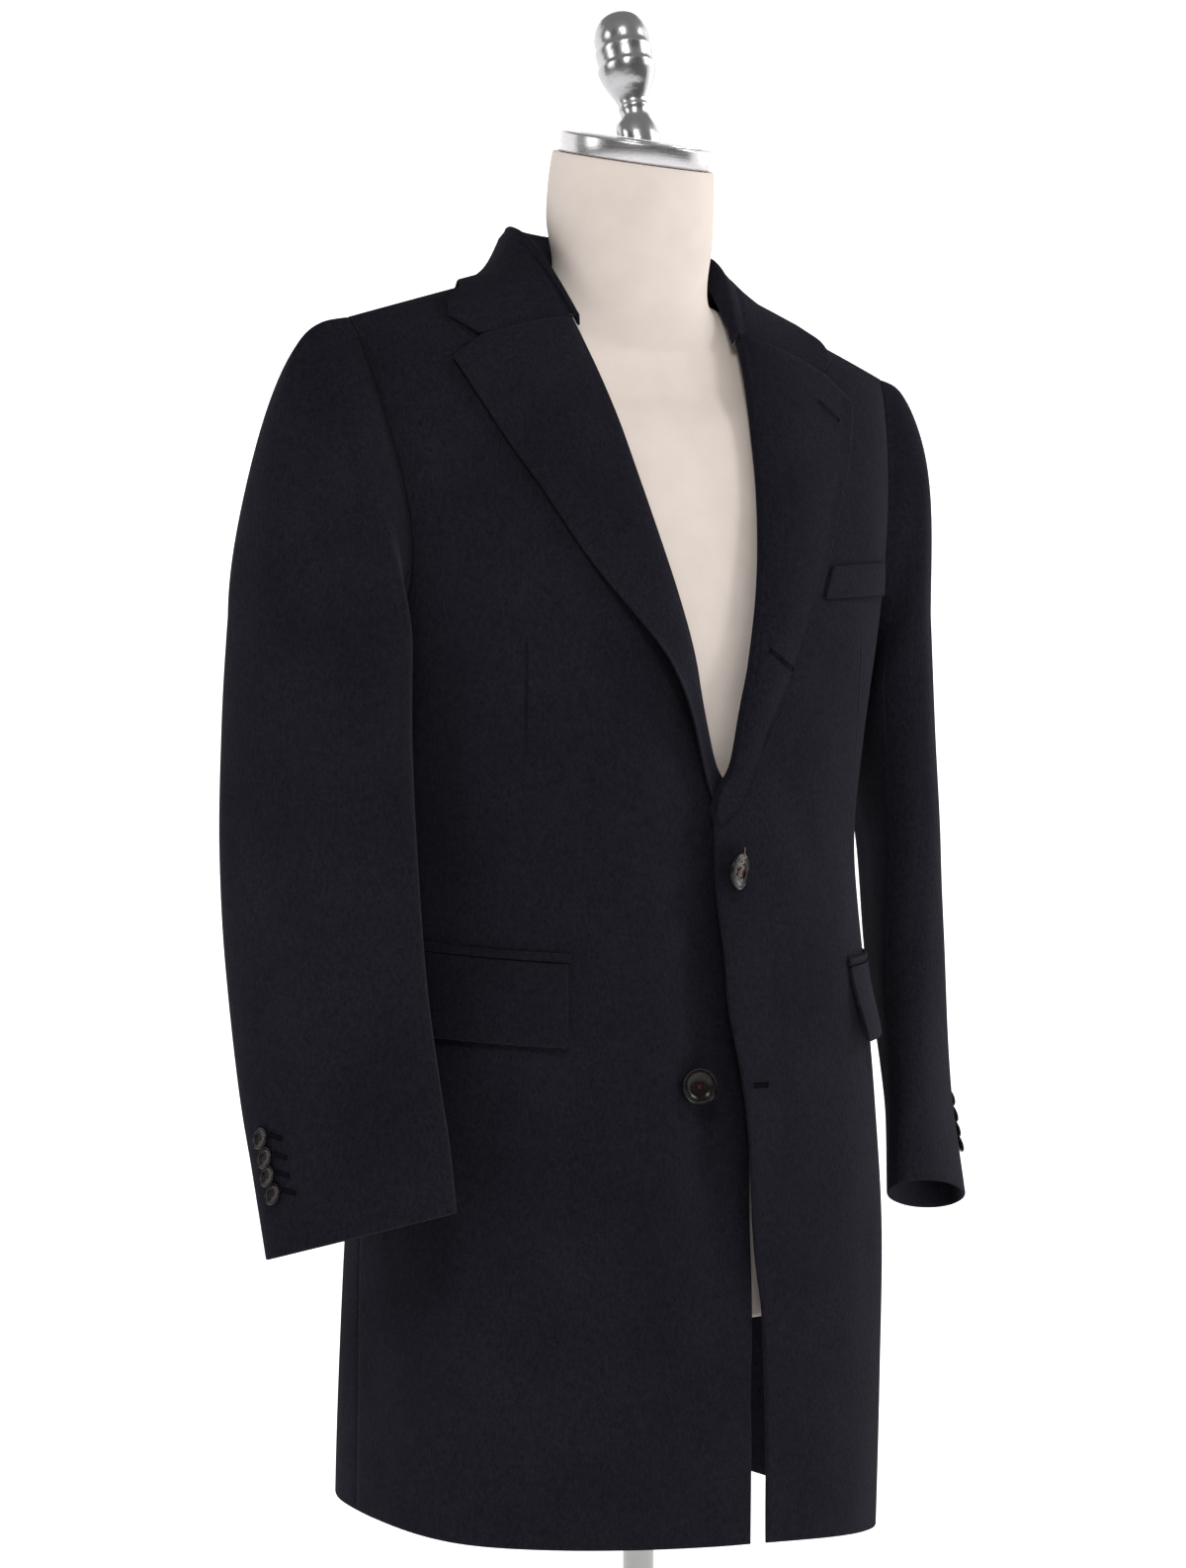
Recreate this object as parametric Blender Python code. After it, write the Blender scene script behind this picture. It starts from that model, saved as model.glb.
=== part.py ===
"""Wool overcoat on a limbless dress form.

Metres, +Z up. The coat's front faces -Y and the wearer's left is +X. The origin is the middle of the
stand's underside. Heights in the tables are measured over the mean hem, which hangs HEM over the floor.
"""

import math

import bmesh
import bpy
import numpy as np

for item in list(bpy.data.objects):
    bpy.data.objects.remove(item, do_unlink=True)

# ---------------------------------------------------------------- driving sizes
HEM = 0.120             # mean hem over the floor
WALL = 0.0028           # coat cloth, one layer with its canvas
SEAM = 0.0004           # gap between two sewn pieces
ARMPIT = 0.585          # lowest point of the armhole
SHOULDER_HALF = 0.2375  # half width where the sleeves are set in
NECK_HALF = 0.076       # half width of the neck opening on the shoulder seam
SHOULDER_Y = 0.012      # depth of the shoulder seam
SQUARENESS = 2.25       # superellipse power of the level sections
SLANT = 0.025           # the coat hangs this much lower to the wearer's left, for each metre out


def table(names, *rows):
    """Rows of numbers as named columns."""
    return {name: np.array(column) for name, column in zip(names.split(), zip(*rows))}


def read(tab, by, column, at):
    """A smooth curve through one column of a table, read at the values `at` of the column `by`."""
    xs, ys = tab[by], tab[column]
    at = np.clip(np.asarray(at, float), xs[0], xs[-1])
    steps = np.diff(ys) / np.diff(xs)
    slopes = np.concatenate([steps[:1], (steps[:-1] + steps[1:]) / 2, steps[-1:]])
    slopes[1:-1] = np.where(steps[:-1] * steps[1:] > 0, slopes[1:-1], 0.0)
    left = np.clip(np.searchsorted(xs, at, side="right") - 1, 0, len(xs) - 2)
    gap = xs[left + 1] - xs[left]
    u = (at - xs[left]) / gap
    rest = (1 - u)
    return (ys[left] * rest ** 2 * (1 + 2 * u) + ys[left + 1] * u ** 2 * (3 - 2 * u)
            + gap * u * rest * (slopes[left] * rest - slopes[left + 1] * u))


def ease(value, low, high):
    """0 below low, 1 above high, and a smooth step between."""
    u = np.clip((value - low) / (high - low), 0, 1)
    return u * u * (3 - 2 * u)


def unit(v):
    return v / np.maximum(np.linalg.norm(v, axis=-1, keepdims=True), 1e-12)


# ---------------------------------------------------------------- body of the coat
# half: to each side, front and back: depths from the neck's axis, middle: depth of the widest point
BODY = table("height half front back middle",
             (-0.04, 0.2005, 0.1190, 0.184, 0.033),
             (0.080, 0.2020, 0.1220, 0.179, 0.028),
             (0.180, 0.2040, 0.1235, 0.168, 0.026),
             (0.280, 0.1985, 0.1205, 0.160, 0.026),
             (0.380, 0.1900, 0.1125, 0.150, 0.025),
             (0.460, 0.1820, 0.1055, 0.143, 0.023),
             (0.530, 0.1910, 0.1030, 0.147, 0.020),
             (0.590, 0.2020, 0.1020, 0.152, 0.018))
# soft drape folds: where round the body, how wide, how proud, and the heights they fade out at
FOLDS = table("turn spread proud top",
              (-110.0, 11.0, 0.0060, 0.30),
              (-62.0, 13.0, 0.0025, 0.26),
              (58.0, 12.0, 0.0015, 0.28),
              (100.0, 9.0, 0.0040, 0.32),
              (-150.0, 11.0, 0.0045, 0.34),
              (147.0, 12.0, 0.0040, 0.30))


def hem_line(phi):
    """Height of the hem: it drops to the front and a little to the wearer's left."""
    return -0.003 - 0.017 * np.cos(phi) + 0.008 * np.cos(2 * phi) - 0.0155 * np.sin(phi)


def shoulder_line(x):
    """Height of the shoulder seam, which eases off the neck and then falls straight."""
    out = np.maximum(np.abs(x) - 0.05, 0)
    return 0.875 - 0.335 * out ** 2 / (out + 0.02)


def seam_depth(x, inner):
    """Depth of the shoulder seam, and of the back neck curve inside it."""
    return SHOULDER_Y + 0.058 * np.exp(-(np.maximum(np.abs(x), inner) / 0.056) ** 4)


def arch_power(side, back):
    """How square the chest or the back rises to the shoulder: softer in the middle of the chest."""
    return np.where(back, 2.2 - 0.4 * side ** 2, 1.38 + 0.42 * side ** 2)


def half_width(rise, base):
    return base + (SHOULDER_HALF - base) * np.sin(rise * math.pi / 2)


def shell(phi, level):
    """Outer face of the coat's body. phi is 0 at the front centre and pi at the back centre, level is 0 at
    the hem, 1 at the armpit and 2 on the shoulder line."""
    phi, level = np.broadcast_arrays(np.asarray(phi, float), np.asarray(level, float))
    sine, cosine = np.sin(phi), np.cos(phi)
    hem = hem_line(phi)
    height = hem + (ARMPIT - hem) * np.clip(level, 0, 1)
    half, front, back, middle = (read(BODY, "height", c, height) for c in ("half", "front", "back", "middle"))
    side = np.sign(sine) * np.abs(sine) ** (2 / SQUARENESS)
    depth = np.abs(cosine) ** (2 / SQUARENESS)
    behind = cosine < 0
    power = arch_power(side, behind)
    turn = np.clip(level - 1, 0, 1) * math.pi / 2
    rise, arch = np.sin(turn) ** (2 / power), np.maximum(np.cos(turn), 0) ** (2 / power)
    x = half_width(rise, half) * side
    ring = np.where(behind, middle + (back - middle) * depth, middle - (front + middle) * depth)
    line = seam_depth(x, np.where(behind, 0, NECK_HALF))
    height = height + rise * (shoulder_line(x) - ARMPIT - SLANT * x)
    points = np.stack([x, line + (ring - line) * arch, height], axis=-1)
    return points + np.array([0, 0, HEM])


def drape(phi, height):
    """How far the folds stand proud at a height over the hem."""
    out = np.zeros(np.broadcast(phi, height).shape)
    for turn, spread, proud, top in zip(*(FOLDS[c] for c in ("turn", "spread", "proud", "top"))):
        away = (np.degrees(phi) - turn + 180) % 360 - 180
        out = out + proud * np.exp(-(away / spread) ** 2) * (1 - ease(height, 0.0, top))
    return out


def shell_normal(phi, level):
    """Outward normals of the body."""
    step = 1e-3
    phi, level = np.broadcast_arrays(np.asarray(phi, float), np.asarray(level, float))
    low, high = np.maximum(level - step, 0), np.minimum(level + step, 2 - 1e-6)
    around = shell(phi + step, level) - shell(phi - step, level)
    up = shell(phi, high) - shell(phi, low)
    return unit(np.cross(around, up))


def front_place(x, height):
    """phi and level of the chest's point at x and a height over the hem, before the slant."""
    x, height = np.broadcast_arrays(np.asarray(x, float), np.asarray(height, float))
    rise = np.clip((height - ARMPIT) / (shoulder_line(x) - ARMPIT), 0, 1)
    half = half_width(rise, read(BODY, "height", "half", np.minimum(height, ARMPIT)))
    side = np.clip(np.abs(x) / half, 0, 1)
    phi = np.sign(x) * np.arcsin(side ** (SQUARENESS / 2))
    power = arch_power(side, False)
    hem = hem_line(phi)
    above = 1 + np.arcsin(np.clip(rise ** (power / 2), 0, 1)) * 2 / math.pi
    return phi, np.where(height > ARMPIT, above, np.clip((height - hem) / (ARMPIT - hem), 0, 1))


def on_front(x, height, lift):
    """A point over the chest at x and a height, moved out by lift."""
    phi, level = front_place(x, height)
    return shell(phi, level) + shell_normal(phi, level) * np.asarray(lift)[..., None]


def on_shoulder(x, y, lift):
    """A point over the shoulders or the upper back at a place in plan, moved out by lift."""
    x, y = np.broadcast_arrays(np.asarray(x, float), np.asarray(y, float))
    phi, level = np.zeros(x.shape), np.full(x.shape, 1.9)
    behind = y > seam_depth(x, NECK_HALF)
    for _ in range(12):
        power = arch_power(np.abs(np.sin(phi)) ** (2 / SQUARENESS), behind)
        rise = np.sin((level - 1) * math.pi / 2) ** (2 / power)
        side = np.clip(np.abs(x) / half_width(rise, read(BODY, "height", "half", ARMPIT)), 0, 1)
        ahead = np.arcsin(side ** (SQUARENESS / 2))
        phi = np.sign(x + 1e-12) * np.where(behind, math.pi - ahead, ahead)
        ring = shell(phi, 1.0)[..., 1]
        line = seam_depth(x, np.where(behind, 0, NECK_HALF))
        arch = np.clip((y - line) / (ring - line), 0, 1)
        level = 1 + np.arccos(arch ** (arch_power(side, behind) / 2)) * 2 / math.pi
    return shell(phi, level) + shell_normal(phi, level) * np.asarray(lift)[..., None]


def solid(name, rings, colour, rough, metal=0.0, closed=False):
    """A closed solid through equal rows of points; closed rows get a fan at each end."""
    rings = np.asarray(rings)
    count, size = rings.shape[:2]
    verts = [tuple(point) for ring in rings for point in ring]
    around = size if closed else size - 1
    faces = [(i * size + j, i * size + (j + 1) % size, (i + 1) * size + (j + 1) % size, (i + 1) * size + j)
             for i in range(count - 1) for j in range(around)]
    faces += [tuple(reversed(range(size))), tuple(range((count - 1) * size, count * size))]
    return make(name, verts, faces, colour, rough, metal)


def make(name, verts, faces, colour, rough, metal=0.0):
    """One named object with its own material and outward faces."""
    mesh = bpy.data.meshes.new(name)
    mesh.from_pydata([tuple(map(float, v)) for v in verts], [], faces)
    material = bpy.data.materials.new(name)
    material.use_nodes = True
    shader = material.node_tree.nodes["Principled BSDF"]
    shader.inputs["Base Color"].default_value = (*colour, 1.0)
    shader.inputs["Roughness"].default_value = rough
    shader.inputs["Metallic"].default_value = metal
    mesh.materials.append(material)
    shape = bmesh.new()
    shape.from_mesh(mesh)
    bmesh.ops.recalc_face_normals(shape, faces=shape.faces)
    shape.to_mesh(mesh)
    shape.free()
    mesh.shade_smooth()
    mesh.set_sharp_from_angle(angle=math.radians(40))
    thing = bpy.data.objects.new(name, mesh)
    bpy.context.collection.objects.link(thing)
    return thing


def wall(name, outer, inner):
    """A piece of cloth between two equal grids of points."""
    rows, cols = outer.shape[:2]
    verts = list(outer.reshape(-1, 3)) + list(inner.reshape(-1, 3))
    def at(layer, i, j):
        return layer * rows * cols + i * cols + j
    faces = []
    for i in range(rows - 1):
        for j in range(cols - 1):
            for layer in (0, 1):
                quad = [at(layer, i, j), at(layer, i, j + 1), at(layer, i + 1, j + 1), at(layer, i + 1, j)]
                faces.append(quad if layer == 0 else quad[::-1])
    rim = ([(i, 0) for i in range(rows)] + [(rows - 1, j) for j in range(1, cols)]
           + [(i, cols - 1) for i in range(rows - 2, -1, -1)] + [(0, j) for j in range(cols - 2, 0, -1)])
    for here, there in zip(rim, rim[1:] + rim[:1]):
        faces.append([at(0, *here), at(0, *there), at(1, *there), at(1, *here)])
    return make(name, verts, faces, WOOL, WOOL_ROUGH)


def grid_normal(points):
    """Normals of a grid of points, along rows crossed with across rows."""
    return unit(np.cross(np.gradient(points, axis=1), np.gradient(points, axis=0)))


# ---------------------------------------------------------------- fronts and backs
# the armhole round the sleeve: 0 at the armpit, 180 on the shoulder, and the turn of its front and back edge
ARMHOLE = table("around front back",
                (0, 98.0, 98.0),
                (30, 86.0, 105.0),
                (60, 73.0, 111.0),
                (90, 68.7, 112.5),
                (120, 71.5, 110.5),
                (150, 77.0, 105.0),
                (180, 84.0, 96.0))
# the fastened edges: the left front laps over the right, and both part below the button
LEFT_EDGE = table("height x", (-0.04, 0.0225), (0.0, 0.0212), (0.05, 0.0203), (0.12, 0.0170), (0.15, 0.0145),
                  (0.18, 0.0092), (0.235, 0.0045), (0.30, -0.0025), (0.37, -0.0128), (0.44, -0.0126),
                  (0.485, -0.0118))
RIGHT_EDGE = table("height x", (-0.04, -0.0078), (0.03, -0.0072), (0.08, -0.0066), (0.14, -0.0108),
                   (0.20, -0.0142), (0.3, -0.0195), (0.4, -0.0250), (0.485, -0.026))
# where the lapels fold over, x to the wearer's own side
ROLL = table("height x", (0.485, -0.0118), (0.521, 0.002), (0.572, 0.016), (0.601, 0.0235), (0.638, 0.034),
             (0.668, 0.0415), (0.724, 0.053), (0.757, 0.0585), (0.790, 0.0650), (0.812, 0.0695),
             (0.830, 0.0725), (0.850, 0.0745), (0.873, 0.0760))
WOOL, WOOL_ROUGH = (0.012, 0.013, 0.022), 0.9
FRONT_COLUMNS, BACK_COLUMNS = 12, 9
# rows of the panels over the armpit, as turns round the armhole, which the sleeve's lines meet
AROUND = np.radians([0, 15, 30, 47, 64, 82, 100, 118, 136, 155, 180])
LEVELS = np.concatenate([np.linspace(0, 1, 12)[:-1], 1 + np.arcsin(((1 - np.cos(AROUND)) / 2) ** 0.9) * 2 / math.pi])


def own_edge(hand, height):
    """x of a front's free edge and roll line, to the wearer's own side."""
    edge = LEFT_EDGE if hand > 0 else RIGHT_EDGE
    low = read(edge, "height", "x", height)
    blend = ease(height, 0.485, 0.521)
    return np.where(height < 0.485, low, read(ROLL, "height", "x", height) * blend + low * (1 - blend))


def free_edge(hand, level):
    """phi of a front's free edge on the rows of level."""
    low, high = np.full(level.shape, -0.6), np.full(level.shape, 1.3)
    for _ in range(40):
        middle = (low + high) / 2
        place = shell(hand * middle, level)
        past = hand * place[..., 0] > own_edge(hand, place[..., 2] - HEM)
        low, high = np.where(past, low, middle), np.where(past, middle, high)
    return middle


def armhole_turn(level, side):
    """phi of the side seam and, over the armpit, of the armhole's front or back edge."""
    rise = np.sin(np.clip(level - 1, 0, 1) * math.pi / 2) ** (2 / 1.8)
    around = np.degrees(np.arccos(1 - 2 * rise))
    return np.radians(read(ARMHOLE, "around", side, around))


def tuck(hand, x, height):
    """How far the right front lies in where they lap, and the left one stands off under the button."""
    if hand > 0:
        return 0.0065 * (1 - ease(x, -0.012, 0.040)) * ease(height, 0.20, 0.285) * (1 - ease(height, 0.375, 0.445))
    deep = 0.0105 + 0.0050 * ease(height, 0.14, 0.27) * (1 - ease(height, 0.40, 0.47))
    return -deep * ease(x, -0.072, -0.014) * ease(height, 0.05, 0.22) * (1 - ease(height, 0.55, 0.68))


def panel(name, hand, turn, level, seam_shift):
    """A body panel: both faces over a grid of turns and levels."""
    phi = hand * turn
    outer, normal = shell(phi, level), shell_normal(phi, level)
    height = outer[..., 2] - HEM
    normal[-1, :, 1] = 0
    normal = unit(normal)
    lift = drape(phi, height)
    if seam_shift < 0:
        lift = lift + tuck(hand, outer[..., 0], height)
    outer = outer + normal * lift[..., None]
    outer[-1, :, 1] += seam_shift
    return wall(name, outer, outer - normal * WALL)


for side_name, hand in (("left", 1), ("right", -1)):
    seam_turn = SEAM / 0.36
    near = free_edge(hand, LEVELS)
    far = armhole_turn(LEVELS, "front") - seam_turn
    share = np.linspace(0, 1, FRONT_COLUMNS) ** 1.25
    level = np.repeat(LEVELS[:, None], FRONT_COLUMNS, 1)
    panel("front_" + side_name, hand, near[:, None] + (far - near)[:, None] * share, level, -SEAM / 2)
    near = np.full(LEVELS.shape, math.pi - seam_turn)
    far = armhole_turn(LEVELS, "back") + seam_turn
    share = np.linspace(0, 1, BACK_COLUMNS)
    level = np.repeat(LEVELS[:, None], BACK_COLUMNS, 1)
    panel("back_" + side_name, hand, near[:, None] + (far - near)[:, None] * share, level, SEAM / 2)

# ---------------------------------------------------------------- sleeves
# sections down each sleeve: place of the middle, half widths, slant to the front, how the ring tips, and how far
# the long way of the section turns in to the front, which is more on the left arm
SLEEVES = {
    -1: table("height x y major minor slant tilt lean",
              (0.2075, 0.2505, -0.0270, 0.0722, 0.0248, 0.0195, 0.0, 27.0),
              (0.260, 0.2512, -0.0142, 0.0752, 0.0262, 0.0120, 0.0, 27.0),
              (0.300, 0.2532, -0.0049, 0.0763, 0.0273, 0.0080, 0.0, 27.0),
              (0.380, 0.2562, 0.0087, 0.0765, 0.0296, 0.0, 0.0, 27.0),
              (0.460, 0.2573, 0.0165, 0.0756, 0.0308, 0.0, 0.002, 27.0),
              (0.540, 0.2550, 0.0214, 0.0722, 0.0330, 0.0, 0.018, 27.0),
              (0.605, 0.2500, 0.0240, 0.0692, 0.0340, 0.0, 0.040, 27.0)),
    1: table("height x y major minor slant tilt lean",
             (0.2038, 0.2482, -0.0265, 0.0722, 0.0236, 0.0158, 0.0073, 56.0),
             (0.260, 0.2528, -0.0142, 0.0752, 0.0227, 0.0120, 0.004, 51.0),
             (0.300, 0.2555, -0.0049, 0.0763, 0.0251, 0.0080, 0.0, 47.0),
             (0.380, 0.2573, 0.0087, 0.0765, 0.0301, 0.0, 0.0, 40.0),
             (0.460, 0.2579, 0.0165, 0.0756, 0.0305, 0.0, 0.002, 34.0),
             (0.540, 0.2534, 0.0214, 0.0722, 0.0318, 0.0, 0.018, 30.0),
             (0.605, 0.2492, 0.0240, 0.0692, 0.0325, 0.0, 0.040, 27.0))}
FULLNESS = {-1: 1.20, 1: 0.97}    # how far the sleeve's head swells out over the armhole
CAP_ROWS, ARM_ROWS = 7, 11
FRONT_SEAM, BACK_SEAM = 4, 14     # lines of the armhole's ring that the sleeve's two seams run down from


def sleeve_ring(hand, around, height):
    """Points round the sleeve: 0 faces the body, 90 the front, 180 out, 270 the back."""
    v = {name: read(SLEEVES[hand], "height", name, height) for name in SLEEVES[hand]}
    sine, cosine, lean = np.sin(around), np.cos(around), np.radians(v["lean"])
    x = v["x"] - v["major"] * sine * np.sin(lean) - v["minor"] * cosine * np.cos(lean)
    y = v["y"] - v["major"] * sine * np.cos(lean) + v["minor"] * cosine * np.sin(lean)
    z = height + v["slant"] * sine - v["tilt"] * cosine + HEM - SLANT * hand * v["x"] * ease(height, 0.1, 0.8)
    return np.stack([hand * x, y, z], axis=-1)


def armhole_point(hand, around, gap):
    """Points on the armhole's edge, moved into the opening by gap, and the body's normals there."""
    rise = (1 - np.cos(around)) / 2
    degrees = np.degrees(around) % 360
    ahead = degrees <= 180
    turn = np.radians(np.where(ahead, read(ARMHOLE, "around", "front", degrees),
                               read(ARMHOLE, "around", "back", 360 - degrees)))
    level = 1 + np.arcsin(np.clip(rise, 0, 1) ** (1.8 / 2)) * 2 / math.pi
    place, normal = shell(hand * turn, level), shell_normal(hand * turn, level)
    normal[..., 1] *= np.clip((2 - level) / 0.05, 0, 1)
    normal = unit(normal)
    middle = np.array([hand * 0.215, 0.018, HEM + 0.70])
    away = middle - place
    away = away - normal * np.sum(away * normal, axis=-1, keepdims=True)
    return place + unit(away) * gap, normal


def sleeve_face(hand, around):
    """Outer face of the sleeve on lines round it, from the armhole to the cuff, and its normals at the armhole."""
    start, normal = armhole_point(hand, around, 3 * SEAM)
    heights = SLEEVES[hand]["height"]
    end = sleeve_ring(hand, around, heights[-1])
    sine, cosine = np.sin(around), np.cos(around)
    reach = np.linalg.norm(end - start, axis=-1, keepdims=True)
    swing = 0.16 + np.where(sine > 0, 0.06, -0.45) * sine
    leave = np.stack([hand * np.ones_like(sine), swing, -0.16 - 0.42 * (1 + cosine)], axis=-1)
    leave = unit(leave) * FULLNESS[hand]
    arrive = np.array([0, 0, -1.0])
    rows = []
    for u in np.linspace(0, 1, CAP_ROWS, endpoint=False):
        rest = 1 - u
        rows.append(start * rest ** 2 * (1 + 2 * u) + end * u ** 2 * (3 - 2 * u)
                    + reach * u * rest * (leave * rest - arrive * u * 1.15))
    for height in np.linspace(heights[-1], heights[0], ARM_ROWS):
        rows.append(sleeve_ring(hand, around, height))
    return np.array(rows), normal


def sleeve_grid(hand, around):
    """Outer and inner faces of the sleeve."""
    outer, first = sleeve_face(hand, around)
    across = sleeve_face(hand, around + 0.01)[0] - sleeve_face(hand, around - 0.01)[0]
    out = unit(-hand * np.cross(across, np.gradient(outer, axis=0)))
    out[0] = first
    return outer, outer - out * WALL


for side_name, hand in (("left", 1), ("right", -1)):
    gap = SEAM / 0.08
    ring = np.concatenate([AROUND, 2 * math.pi - AROUND[-2:0:-1]])
    for piece, around in (("top_sleeve_", ring[FRONT_SEAM:BACK_SEAM + 1]),
                          ("under_sleeve_", np.concatenate([ring[BACK_SEAM:], 2 * math.pi + ring[:FRONT_SEAM + 1]]))):
        around = around + np.concatenate([[gap], np.zeros(len(around) - 2), [-gap]])
        wall(piece + side_name, *sleeve_grid(hand, around))

# ---------------------------------------------------------------- lapels
LAPEL_WALL = 0.0024
CLEAR = 0.0005          # air between two layers that lie on each other
# up the lapel: height where it leaves the roll line, and its free edge
LAPEL = table("up roll x height",
              (0.00, 0.488, -0.0090, 0.4800),
              (0.07, 0.512, 0.0080, 0.4935),
              (0.22, 0.560, 0.0385, 0.5480),
              (0.38, 0.612, 0.0710, 0.6020),
              (0.56, 0.672, 0.1065, 0.6625),
              (0.70, 0.722, 0.1310, 0.7070),
              (0.82, 0.763, 0.1490, 0.7370),
              (0.92, 0.797, 0.1645, 0.7680),
              (1.00, 0.829, 0.1750, 0.7915))
GORGE_BOW, GORGE_CORNER = 0.0078, 0.745   # the notch's corner over the straight line from roll to tip
LAPEL_ROWS, LAPEL_COLUMNS = 14, 7


def lapel_place(hand, up, out):
    """x, height and lift of the lapel's outer face: up from the button, out from the roll line."""
    roll = read(LAPEL, "up", "roll", up)
    away = np.exp(-((up - 0.31) / 0.17) ** 2) * (hand < 0)      # the right one stands off the chest here
    start, end = own_edge(1, roll) + SEAM, read(LAPEL, "up", "x", up) - 0.009 * away
    bow = np.interp(out, [0, GORGE_CORNER, 1], [0, 1, 0]) * GORGE_BOW * ease(up, 0.86, 1.0)
    x = hand * (start + (end - start) * out)
    height = roll + (read(LAPEL, "up", "height", up) - roll) * out + bow
    crown = 0.0042 * np.sin(math.pi * np.clip(out * 1.12, 0, 1) ** 0.7) * ease(up, 0.02, 0.35)
    spare = 0.0013 * (1 - ease(up, 0.3, 0.6)) * (hand < 0)
    return x, height, np.minimum(tuck(hand, x, height), 0) + CLEAR + spare + LAPEL_WALL + crown + 0.013 * away * out ** 1.6


def lapel_face(hand, up, out):
    x, height, lift = lapel_place(hand, up, out)
    return on_front(x, height, lift), shell_normal(*front_place(x, height))


for side_name, hand in (("left", 1), ("right", -1)):
    up, out = np.meshgrid(np.linspace(0 if hand > 0 else 0.03, 1, LAPEL_ROWS),
                          np.linspace(0, 1, LAPEL_COLUMNS), indexing="ij")
    outer, normal = lapel_face(hand, up, out)
    wall("lapel_" + side_name, outer, outer - normal * LAPEL_WALL)

# ---------------------------------------------------------------- collar
# round the neck from the nape (0) to the notch (1): the fold in space, the outer edge and the sewn edge in plan
COLLAR = table("turn fold_x fold_y fold_h edge_x edge_y seam_x seam_y seam_h",
               (0.00, 0.0000, 0.0900, 0.9050, 0.0000, 0.1150, 0.0000, 0.0695, 0.8805),
               (0.25, 0.0450, 0.0790, 0.9045, 0.0620, 0.1040, 0.0400, 0.0560, 0.8805),
               (0.45, 0.0745, 0.0520, 0.9020, 0.1100, 0.0680, 0.0600, 0.0330, 0.8790),
               (0.60, 0.0840, 0.0240, 0.8930, 0.1340, 0.0300, 0.0705, 0.0160, 0.8745),
               (0.75, 0.0815, 0.0030, 0.8740, 0.1500, 0.0050, 0.0700, 0.0010, 0.8590),
               (0.90, 0.0752, -0.0140, 0.8490, 0.1640, -0.0080, 0.0690, -0.0130, 0.8390),
               (1.00, 0.0715, -0.0240, 0.8330, 0.1690, -0.0172, 0.0675, -0.0215, 0.8260))
# the collar's front edge along the gorge seam and round the notch, over the chest
GORGE = table("share x height", (0.0, 0.0760, 0.8310), (0.2, 0.0900, 0.8268), (0.42, 0.1080, 0.8222),
              (0.64, 0.1300, 0.8166), (0.82, 0.1505, 0.8108), (1.0, 0.1690, 0.8235))
COLLAR_WALL = 0.0026
FOLD_ROUND = 0.0034
COLLAR_ENDS, COLLAR_STEPS = 1.0, 25
REST = CLEAR + COLLAR_WALL / 2 + 0.0006
OVER_SEAM = 0.0014      # more air where the leaf crosses the ridge of the shoulder seam
LEAF_FOOT = 0.8515      # height of the leaf's edge at the nape, where it hangs clear of the back


def collar_leaf(hand, turn, start, edge):
    """Middle of the fallen leaf, from the fold to the outer edge where it rests on the shoulder."""
    leaf = []
    lift = REST + OVER_SEAM * (1 - ease(turn, 0.8, 1.0))
    foot = on_shoulder(hand * edge[0], edge[1], lift)[2]
    foot = foot + max(LEAF_FOOT + HEM - foot, 0) * (1 - ease(turn, 0.25, 0.55))
    for share in GORGE["share"][1:]:
        x, y = start[:2] + (edge - start[:2]) * share
        rest = on_shoulder(hand * x, y, lift)
        free = foot + (start[2] - foot) * (1 - share) ** 1.5
        front = ease(turn, 0.72, 1.0)
        height = max(free, rest[2]) * (1 - front) + rest[2] * front
        leaf.append(np.array([rest[0], rest[1], height]))
    return np.array(leaf)


def collar_line(hand, turn):
    """Middle of the collar's cloth on one side, from the sewn edge over the fold to the outer edge."""
    v = {name: read(COLLAR, "turn", name, turn) for name in COLLAR}
    fall = HEM - SLANT * hand * v["fold_x"]
    fold = np.array([v["fold_x"], v["fold_y"], v["fold_h"] + fall])
    seam = np.array([v["seam_x"], v["seam_y"], v["seam_h"] + fall])
    edge = np.array([v["edge_x"], v["edge_y"]])
    size = FOLD_ROUND * (1 - 0.45 * ease(turn, 0.7, 1.0))
    side = np.append(unit(edge - fold[:2]) * size, 0)
    drop = np.array([0, 0, size])
    line = np.array([seam, (seam + fold - side - drop) / 2, fold - side - drop, fold, fold + side - drop])
    leaf = collar_leaf(hand, turn, line[-1], edge)
    line[:, 0] *= hand
    return np.concatenate([line, leaf])


def collar_side(hand, turns):
    """Lines of the collar's cloth on one side, drawn out to the gorge seam at the front."""
    lines = np.array([collar_line(hand, turn) for turn in turns])
    gorge = on_front(hand * GORGE["x"][1:], GORGE["height"][1:], np.full(len(GORGE["x"]) - 1, REST))
    pull = gorge - collar_line(hand, 1.0)[5:]
    lines[:, 5:] += pull * ease(turns, 0.72, 1.0)[:, None, None]
    return lines


turns = np.linspace(0, COLLAR_ENDS, COLLAR_STEPS // 2 + 1)
middle = np.concatenate([collar_side(-1, turns)[:0:-1], collar_side(1, turns)])
normal = grid_normal(middle)
wall("collar", middle + normal * COLLAR_WALL / 2, middle - normal * COLLAR_WALL / 2)

# ---------------------------------------------------------------- pockets
FLAP_WALL = 0.0024
# turn and height of the front top corner, width in turn, depth, rise to the back, and how far the foot flares
POCKETS = table("hand front top turn deep rise flare",
                (1, 36.5, 0.3790, 53.0, 0.0540, 0.0060, 0.0060),
                (-1, 38.0, 0.3880, 52.0, 0.0565, 0.0090, 0.0022))
JET_HIGH, JET_WALL = 0.0062, 0.0018
# the welt from beside the lapel to its outer end, and how far its inner end slants with the lapel
WELT_X, WELT_HEIGHT, WELT_HIGH, WELT_SLANT = (0.0995, 0.190), (0.6400, 0.6480), 0.0245, 0.0135


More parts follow.
